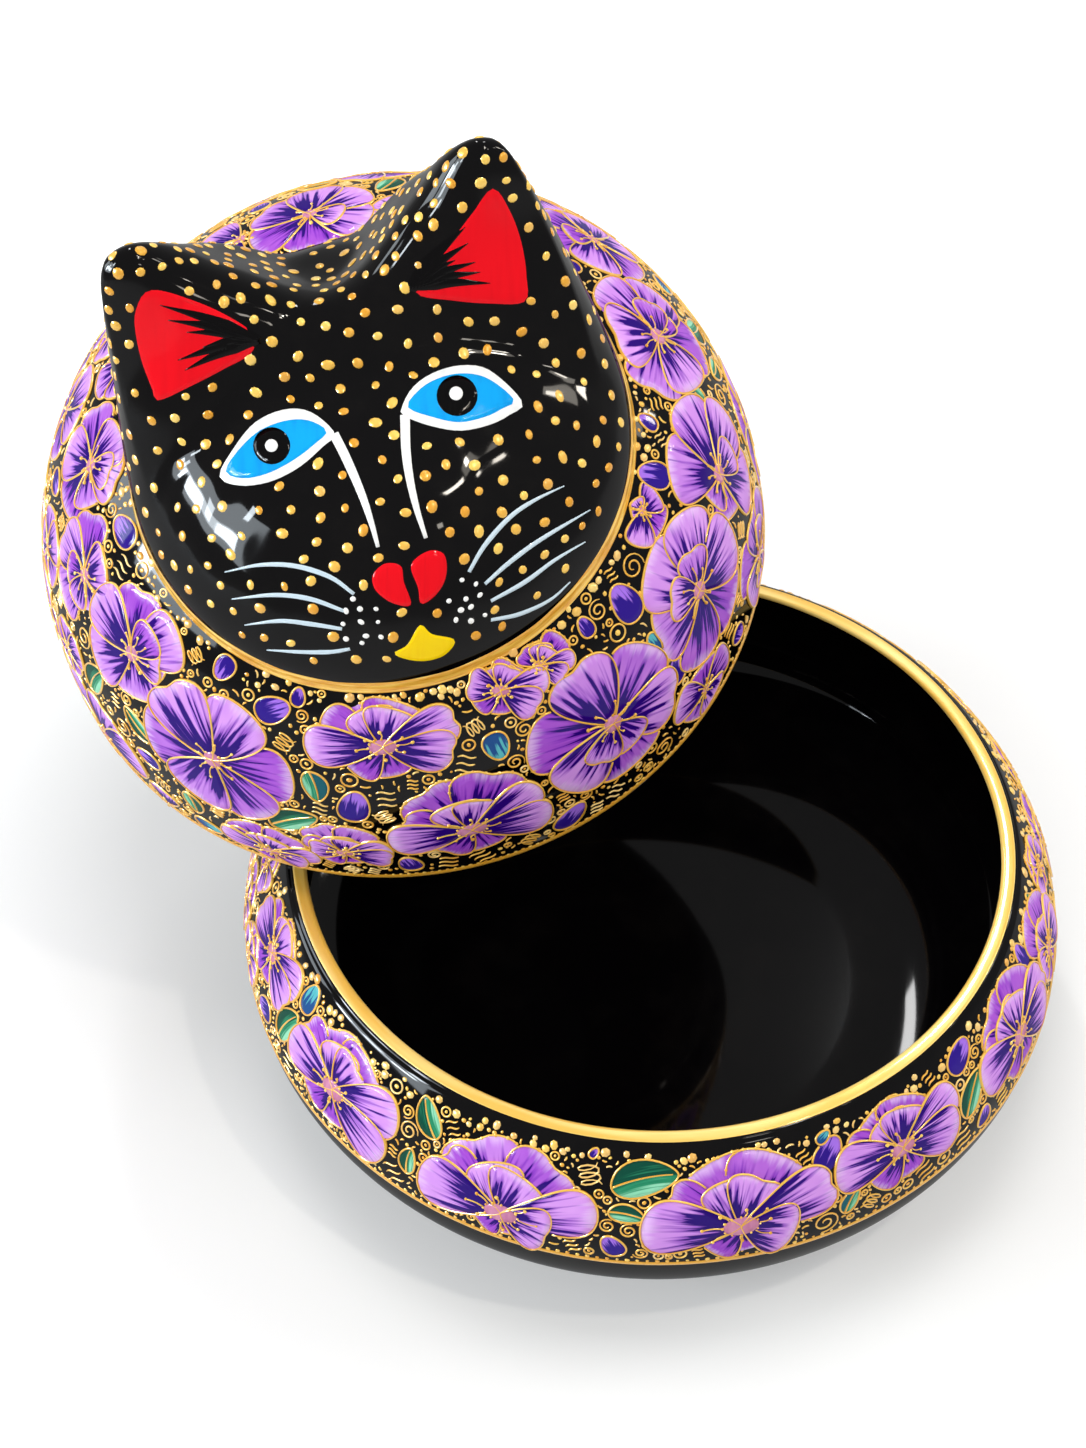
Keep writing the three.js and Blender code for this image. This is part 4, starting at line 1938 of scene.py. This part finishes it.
whisker_dots = (
    (353, 599), (346, 611), (360, 609), (376, 609), (343, 624), (361, 622),
    (378, 622), (346, 639), (366, 636), (381, 637), (362, 643),
    (462, 580), (476, 584), (449, 601), (466, 599), (480, 595), (461, 610),
    (471, 607), (456, 620), (471, 621), (485, 615),
)
left_ear_red = (
    (145, 292), (160, 290), (190, 299), (223, 313), (253, 333), (252, 353), (223, 370),
    (190, 387), (158, 401), (152, 390), (140, 357), (134, 323), (137, 305),
)
right_ear_red = (
    (493, 188), (510, 210), (522, 243), (527, 277), (525, 302), (490, 304),
    (453, 301), (416, 294), (427, 270), (450, 242), (473, 212),
)
# Where the black hairs of an ear's lining start, and their tips
left_ear_root = (260, 340)
left_ear_tips = ((160, 305), (168, 320), (187, 332), (203, 347), (178, 360), (185, 370))
right_ear_root = (409, 288)
right_ear_tips = ((465, 227), (468, 243), (455, 260), (475, 262), (480, 272), (490, 283))
ear_hair_bow = 3

# How far each layer of the face stands off the head
eye_lift = 0.08
iris_lift = 0.14
pupil_lift = 0.2
glint_lift = 0.28
nose_lift = 0.14
mouth_lift = 0.12
ear_red_lift = 0.08
tear_height = 0.16
whisker_height = 0.14
ear_hair_height = 0.15
# Half widths along each stroke
tear_widths = (0.75, 0.7, 0.55, 0.3)
whisker_widths = (0.3, 0.42, 0.34, 0.1)
ear_hair_widths = (0.6, 1.4, 0.8, 0.08)
whisker_dot_sizes = (0.34, 0.5)
whisker_dot_shade = 0.5
# Points of the drawings
shape_points = 40
shape_rings = 5
ear_points = 56
ear_rings = 9
disc_points = 28
disc_rings = 3
face_line_points = 24


def on_board(points):
    """Points of the photograph on its drawing board."""
    return np.asarray(points, float) * photo_to_board


def photo_patch(coat, points, lift, count=shape_points, rings=shape_rings):
    """A filled shape from a few points of its outline."""
    outline = anticlockwise(smooth_path(on_board(points), count, closed=True))
    coat.patch(PhotoBoard(coat.surface), outline, lift, plain_paint, rings)


def photo_disc(coat, disc, lift):
    across, down, radius = disc
    outline = on_board([(across, down)]) + radius * ring_drawing(disc_points)
    coat.patch(PhotoBoard(coat.surface), outline, lift, plain_paint, disc_rings)


def photo_stroke(coat, points, widths, height):
    """A brush stroke through a few points, with its half width at even steps along it."""
    path = PhotoBoard(coat.surface).press(smooth_path(on_board(points), face_line_points), 0.0)
    steps = np.linspace(0, 1, len(widths))
    width = np.interp(np.linspace(0, 1, face_line_points), steps, widths)
    coat.stroke(path, width, height)


def paint_face(paints):
    """Eyes, tear lines, nose, mouth, whiskers and the linings of the ears."""
    coats = {name: Coat(head_surface) for name in paints}
    for eye, iris, pupil, glint in (
        (left_eye, left_iris, left_pupil, left_glint),
        (right_eye, right_iris, right_pupil, right_glint),
    ):
        photo_patch(coats["face_white"], eye, eye_lift)
        photo_patch(coats["eye_blue"], iris, iris_lift)
        photo_disc(coats["face_black"], pupil, pupil_lift)
        photo_disc(coats["face_white"], glint, glint_lift)
    for path in tears:
        photo_stroke(coats["face_white"], path, tear_widths, tear_height)
    for lobe in nostrils:
        photo_patch(coats["face_red"], lobe, nose_lift)
    photo_patch(coats["mouth_yellow"], mouth, mouth_lift)
    for path in whiskers:
        photo_stroke(coats["whiskers"], path, whisker_widths, whisker_height)
    places = head_surface.under_pixels(whisker_dots)
    sizes = dice.uniform(*whisker_dot_sizes, len(places))
    coats["face_white"].beads(places, sizes, np.full(len(places), whisker_dot_shade))
    for lining, root, tips in (
        (left_ear_red, left_ear_root, left_ear_tips),
        (right_ear_red, right_ear_root, right_ear_tips),
    ):
        photo_patch(coats["face_red"], lining, ear_red_lift, ear_points, ear_rings)
        for tip in tips:
            middle = ((root[0] + tip[0]) / 2, (root[1] + tip[1]) / 2 - ear_hair_bow)
            hair = (root, middle, tip)
            photo_stroke(coats["face_black"], hair, ear_hair_widths, ear_hair_height)
    for name, coat in coats.items():
        coat.make(name, paints[name], "head_lacquer")


# Gold dots on the head

dot_spacing = 3.6
dot_spacing_spread = (0.85, 1.15)
ear_dot_share = 0.76
dot_radius = (0.62, 0.9)
# Tints of the head's gold dots; the highest turn a little cream, partly a painted glare highlight
dot_shades = (0.1, 0.75)
dot_edge = 0.97
dot_height = 0.26
dot_tries = 12000
steepest_dot = 0.05
# How far dots keep off the face, in points of the photograph
eye_clear = 9
nose_clear = 8
ear_clear = 7
line_clear = 8
whisker_dot_clear = 11


def near_path(pixels, path, reach):
    """Which pixels lie near a line of the photograph."""
    line = smooth_path(path, shape_points)
    gaps = np.linalg.norm(pixels[:, None] - line[None], axis=2)
    return gaps.min(1) < reach


def grown(outline, extra):
    """An outline moved outwards from its middle."""
    outline = np.asarray(outline, float)
    away = outline - outline.mean(0)
    return outline + away / np.linalg.norm(away, axis=1, keepdims=True) * extra


def on_face(pixels):
    """Which points of the photograph lie on or close to the painted face."""
    covered = np.zeros(len(pixels), bool)
    for outlines, clear in (
        ((left_eye, right_eye), eye_clear),
        (nostrils + (mouth,), nose_clear),
        ((left_ear_red, right_ear_red), ear_clear),
    ):
        for outline in outlines:
            covered |= lies_inside(grown(outline, clear), pixels)
    for path in whiskers + tears:
        covered |= near_path(pixels, path, line_clear)
    for dot in whisker_dots:
        covered |= np.linalg.norm(pixels - np.array(dot), axis=1) < whisker_dot_clear
    return covered


def thrown_on_head(points, faces):
    """Random places spread evenly over the top of the head's mesh."""
    quads = points[np.array([face for face in faces if len(face) == 4])]
    middles = quads.mean(1)
    areas = np.linalg.norm(np.cross(quads[:, 2] - quads[:, 0], quads[:, 3] - quads[:, 1]), axis=1)
    inside = head_share(middles[:, 0], middles[:, 1]) < dot_edge
    above = middles[:, 2] > dome_top(middles[:, 0], middles[:, 1]) + head_edge
    gentle = normals_of(head_level, middles)[:, 2] > steepest_dot
    areas = areas * above * inside * gentle
    picks = dice.choice(len(quads), dot_tries, p=areas / areas.sum())
    shares = dice.uniform(0, 1, (dot_tries, 2))
    first, second, third, fourth = quads[picks].transpose(1, 0, 2)
    low = first + (second - first) * shares[:, :1]
    high = fourth + (third - fourth) * shares[:, :1]
    return low + (high - low) * shares[:, 1:]


def head_dots(points, faces):
    """Places of the gold dots: evenly over the head, clear of the face."""
    places = thrown_on_head(points, faces)
    in_box = lid_to_box(places)
    from_camera = (in_box - camera_place) @ lid_axes.T
    seen = (from_camera * normals_of(head_level, places)).sum(1) < 0
    kept = []
    for place in places[~(on_face(photo_pixels(in_box)) & seen)]:
        behind = lid_to_head(place[0], place[1])[1] > ear_back - scoop_forward
        spacing = dot_spacing * dice.uniform(*dot_spacing_spread) * (ear_dot_share if behind else 1)
        if kept and np.linalg.norm(np.array(kept) - place, axis=1).min() < spacing:
            continue
        kept.append(place)
    return np.array(kept)


# Putting the box together

# The gold line and the row of drops at the lid's edge and under the bowl's band
lid_line_height = 1.15
lid_line_half = 0.55
lid_row_height = 1.7
lid_row_spacing = 1.2
bowl_line_half = 0.4
bowl_row_above_line = 0.7
bowl_row_spacing = 1.5
row_drop_sizes = (0.26, 0.42)
edge_line_height = 0.2
# Where heaps of drops lie: out from the head's gold line, and down from the top of the bowl's band
lid_beads_beyond_line = 0.9
lid_bead_places = 200
bowl_beads_below_band = 0.4
bowl_bead_places = 300
# The gold on the bowl's rim: radius and height, from inside to outside
rim_profile = (
    (54.98, 40.4),
    (54.96, 40.75),
    (55.2, 41.03),
    (55.6, 41.07),
    (56.7, 41.07),
    (57.05, 41.03),
    (57.2, 40.9),
    (57.2, 40.7),
)
rim_brush_strokes = 5.0
rim_shade = 0.55

lacquer = black_lacquer()
gold = gold_paint("gold_paint", ("E29C1A", "FBD05E"), hairs=1.6, metal=0.15)
rim_gold = gold_paint("rim_gold", ("F0BC4C", "FFE48C"), hairs=1.0, metal=0.1)
band_paints = {
    "petals": petal_paint(),
    "leaves": leaf_paint(),
    "buds": bud_paint(),
    "gold": gold,
    "hearts": heart_paint(),
}
face_paints = {
    "face_white": brushed_paint("white_paint", ("F5F5F2", "DDE0E2"), hairs=3.0),
    "eye_blue": brushed_paint("blue_paint", ("10A4EE", "1186D6"), hairs=3.0),
    "face_black": brushed_paint("black_paint", ("040304", "0A0808"), hairs=3.0),
    "face_red": brushed_paint("red_paint", ("EC0C1C", "E00A1A"), hairs=4.0),
    "mouth_yellow": brushed_paint("yellow_paint", ("FAD406", "F6CA02"), hairs=4.0),
    "whiskers": brushed_paint("whisker_paint", ("CFE0EA", "A3BFCE"), hairs=3.0),
}

bowl_shape = turned(bowl_profile(), body_steps)
bowl_body = add_piece("bowl_body", bowl_surface, *bowl_shape, lacquer, "bowl_lacquer")
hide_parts("base_bowl")
dome_shape = turned(dome_profile(), body_steps)
lid_shell = add_piece("lid_shell", dome_surface, *dome_shape, lacquer, "dome_lacquer")
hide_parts("lid_dome")
collar_shape = turned(collar_profile(), body_steps)
lid_ring = add_piece("lid_ring", dome_surface, *collar_shape, lacquer, "collar_lacquer")
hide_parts("lid_collar")
head_shape = head_mesh()
cat_head = add_piece("cat_head_and_ears", head_surface, *head_shape, lacquer, "head_lacquer")
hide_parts("cat_head", "ear_left", "ear_right")

paint_face(face_paints)
dots = Coat(head_surface)
dot_places = head_dots(*head_shape)
shades = dice.uniform(*dot_shades, len(dot_places))
dots.beads(dot_places, dice.uniform(*dot_radius, len(dot_places)), shades, dot_height)
dots.make("head_dots", gold, "head_lacquer")

lid_painter = Painter(dome_surface, lid_room)
lid_beads = head_outline(head_line_width + lid_beads_beyond_line, lid_bead_places)
paint_band(lid_painter, lid_sample, lid_flowers, lid_leaves, lid_buds, False, lid_beads)
head_line(lid_painter.gold)
lid_line = level_ring(dome_surface, lid_line_height)
lid_painter.gold.stroke(lid_line, lid_line_half, edge_line_height, closed=True)
bead_row(lid_painter, lid_row_height, lid_row_spacing, row_drop_sizes)
lid_painter.finish("lid", band_paints, "dome_lacquer")

bowl_painter = Painter(bowl_surface, bowl_room)
bowl_beads = level_ring(bowl_surface, bowl_band_high - bowl_beads_below_band, bowl_bead_places)
paint_band(bowl_painter, bowl_sample, bowl_flowers, bowl_leaves, bowl_buds, True, bowl_beads)
bowl_line = level_ring(bowl_surface, bowl_line_height)
bowl_painter.gold.stroke(bowl_line, bowl_line_half, edge_line_height, closed=True)
bead_row(bowl_painter, bowl_line_height + bowl_row_above_line, bowl_row_spacing, row_drop_sizes)
bowl_painter.finish("bowl", band_paints, "bowl_lacquer")

rim_points, rim_faces = turned(rim_profile[::-1], body_steps)
rim_along = np.tile(np.abs(np.linspace(-1, 1, body_steps)) * rim_brush_strokes, len(rim_profile))
rim_across = np.repeat(np.linspace(-1, 1, len(rim_profile)), body_steps)
rim_paint = np.stack([rim_along, rim_across, np.full(len(rim_points), rim_shade)], 1)
add_piece("bowl_rim_gold", bowl_surface, rim_points, rim_faces, rim_gold, "bowl_lacquer", rim_paint)


# Camera, floor and light

camera_sensor = 36.0
camera_near = 0.01
floor_half = 6.0
floor_corners = ((-1, -1), (1, -1), (1, 1), (-1, 1))
floor_whites = ("D9D9D9", "DEDEDD")
floor_grain = (9.0, 3.0)
floor_roughness = 0.9
floor_shine = 0.1
floor_glow = 0.22
# Distances from the box, in metres, over which the floor turns to plain white
floor_fade = (0.08, 0.35)
room_light = 0.46
room_shine = 0.15
white_light = (1.0, 1.0, 1.0, 1.0)
box_middle = (-0.03, 0.02, 0.08)
lamp_distance = 0.9
cool_light = (0.84, 0.93, 1.0)
plain_light = (1.0, 1.0, 1.0)
warm_light = (1.0, 0.93, 0.82)
# Panels of light: bearing and height in degrees, size in metres, brightness and colour
lamps = {
    "left_window": (-163, 15, (0.42, 0.1), 30.0, cool_light),
    "right_lamp": (-31, 62, (0.04, 0.045), 190.0, warm_light),
    "back_lamp": (104, 42, (0.05, 0.22), 42.0, plain_light),
}
# Light through large cloths, which light the box and aren't seen in the lacquer
cloths = {
    "side_cloth": (8, 34, (0.32, 0.32), 5.5, plain_light),
    "top_cloth": (90, 82, (0.42, 0.42), 5.0, plain_light),
    "front_cloth": (-100, 36, (0.4, 0.4), 3.2, plain_light),
}
# A photographer's reflecting cards, which are seen in the lacquer and don't light the box
reflecting_cards = (
    (-160, 18, (0.5, 0.34), 14.0, cool_light),
    (-190, 14, (0.28, 0.26), 14.0, cool_light),
    (-173, 13, (0.09, 0.12), 75.0, cool_light),
    (-163, 18, (0.1, 0.16), 45.0, cool_light),
    (-152, 14, (0.12, 0.1), 70.0, cool_light),
    (-151, 29, (0.07, 0.14), 60.0, cool_light),
    (-30, 60, (0.13, 0.1), 9.0, warm_light),
    (-61, 34, (0.08, 0.05), 24.0, warm_light),
    (17, 34, (0.07, 0.2), 11.0, warm_light),
    (-22, 68, (0.05, 0.03), 110.0, warm_light),
    (-42, 57, (0.04, 0.05), 90.0, warm_light),
    (-28, 50, (0.03, 0.03), 70.0, warm_light),
    (70, 52, (0.06, 0.1), 60.0, plain_light),
    (16, 35, (0.03, 0.1), 55.0, warm_light),
    (4, 42, (0.035, 0.05), 40.0, warm_light),
    (22, 24, (0.04, 0.08), 70.0, warm_light),
)


def add_camera():
    lens = bpy.data.cameras.new("photo_camera")
    lens.sensor_width = camera_sensor
    lens.lens = camera_sensor * focal_pixels / photo_height
    lens.clip_start = camera_near
    camera = bpy.data.objects.new("photo_camera", lens)
    camera.location = (camera_place * MM).tolist()
    camera.rotation_euler = (math.pi / 2 - camera_fall, 0, 0)
    bpy.context.scene.collection.objects.link(camera)
    bpy.context.scene.camera = camera


def seen_straight(tree, rays):
    """1 for what the camera sees straight or through something clear, and 0 for what lights or mirrors."""
    return maths(tree, "MAXIMUM", rays.outputs["Is Camera Ray"], rays.outputs["Is Transmission Ray"])


def floor_white():
    """A pale floor that keeps the box's shadow and turns to plain white further out."""
    material, tree, shader = new_material("floor_white")
    place = add_node(tree, "ShaderNodeTexCoord").outputs["Object"]
    feed(tree, shader, "Base Color", blend_tints(tree, noise(tree, place, *floor_grain), floor_whites))
    shader.inputs["Roughness"].default_value = floor_roughness
    shader.inputs["Specular IOR Level"].default_value = floor_shine
    rays = add_node(tree, "ShaderNodeLightPath")
    seen = seen_straight(tree, rays)
    lit = maths(tree, "MAXIMUM", seen, rays.outputs["Is Glossy Ray"])
    away = add_node(tree, "ShaderNodeVectorMath", {"operation": "LENGTH"})
    feed(tree, away, 0, place)
    far = stepped(tree, away.outputs["Value"], *floor_fade)
    near_glow = maths(tree, "MULTIPLY", lit, floor_glow)
    far_glow = maths(tree, "MULTIPLY", seen, maths(tree, "MULTIPLY", far, 1.0 - floor_glow))
    glow_strength = maths(tree, "ADD", near_glow, far_glow)
    glow = add_node(tree, "ShaderNodeEmission", Color=white_light, Strength=glow_strength)
    total = add_node(tree, "ShaderNodeAddShader")
    feed(tree, total, 0, shader.outputs["BSDF"])
    feed(tree, total, 1, glow.outputs["Emission"])
    feed(tree, tree.nodes["Material Output"], "Surface", total.outputs["Shader"])
    return material


def add_floor():
    mesh = bpy.data.meshes.new("floor")
    corners = [(floor_half * x, floor_half * y, 0) for x, y in floor_corners]
    mesh.from_pydata(corners, [], [(0, 1, 2, 3)])
    mesh.materials.append(floor_white())
    floor = bpy.data.objects.new("floor", mesh)
    bpy.context.scene.collection.objects.link(floor)
    floor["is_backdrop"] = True


def add_panel(name, bearing, height, size, brightness, colour):
    """A soft panel of light that faces the box."""
    lamp = bpy.data.lights.new(name, "AREA")
    lamp.shape = "RECTANGLE"
    lamp.size, lamp.size_y = size
    lamp.energy = brightness * math.pi * size[0] * size[1]
    lamp.color = colour
    panel = bpy.data.objects.new(name, lamp)
    turn = math.radians(bearing)
    rise = math.radians(height)
    way = np.array([math.cos(rise) * math.cos(turn), math.cos(rise) * math.sin(turn), math.sin(rise)])
    panel.location = (np.array(box_middle) + way * lamp_distance).tolist()
    panel.rotation_euler = (math.pi / 2 - rise, 0, turn + math.pi / 2)
    bpy.context.scene.collection.objects.link(panel)
    return panel


def add_room():
    """An even pale room: white to the camera, softer as light."""
    world = bpy.data.worlds.new("room")
    world.use_nodes = True
    bpy.context.scene.world = world
    tree = world.node_tree
    rays = add_node(tree, "ShaderNodeLightPath")
    shine = maths(tree, "MULTIPLY", rays.outputs["Is Glossy Ray"], room_shine)
    seen = maths(tree, "MAXIMUM", seen_straight(tree, rays), shine)
    strength = maths(tree, "ADD", maths(tree, "MULTIPLY", seen, 1.0 - room_light), room_light)
    back = tree.nodes["Background"]
    feed(tree, back, "Color", white_light)
    feed(tree, back, "Strength", strength)


bpy.context.scene.view_settings.view_transform = "Standard"
add_camera()
add_floor()
add_room()
for name, panel in lamps.items():
    add_panel(name, *panel)
for name, panel in cloths.items():
    add_panel(name, *panel).visible_glossy = False
for number, panel in enumerate(reflecting_cards, 1):
    add_panel("card_" + str(number), *panel).visible_diffuse = False

boxes = {"cad": cad_box, "visual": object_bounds()}
{name: [list(corner) for corner in box] for name, box in boxes.items()}
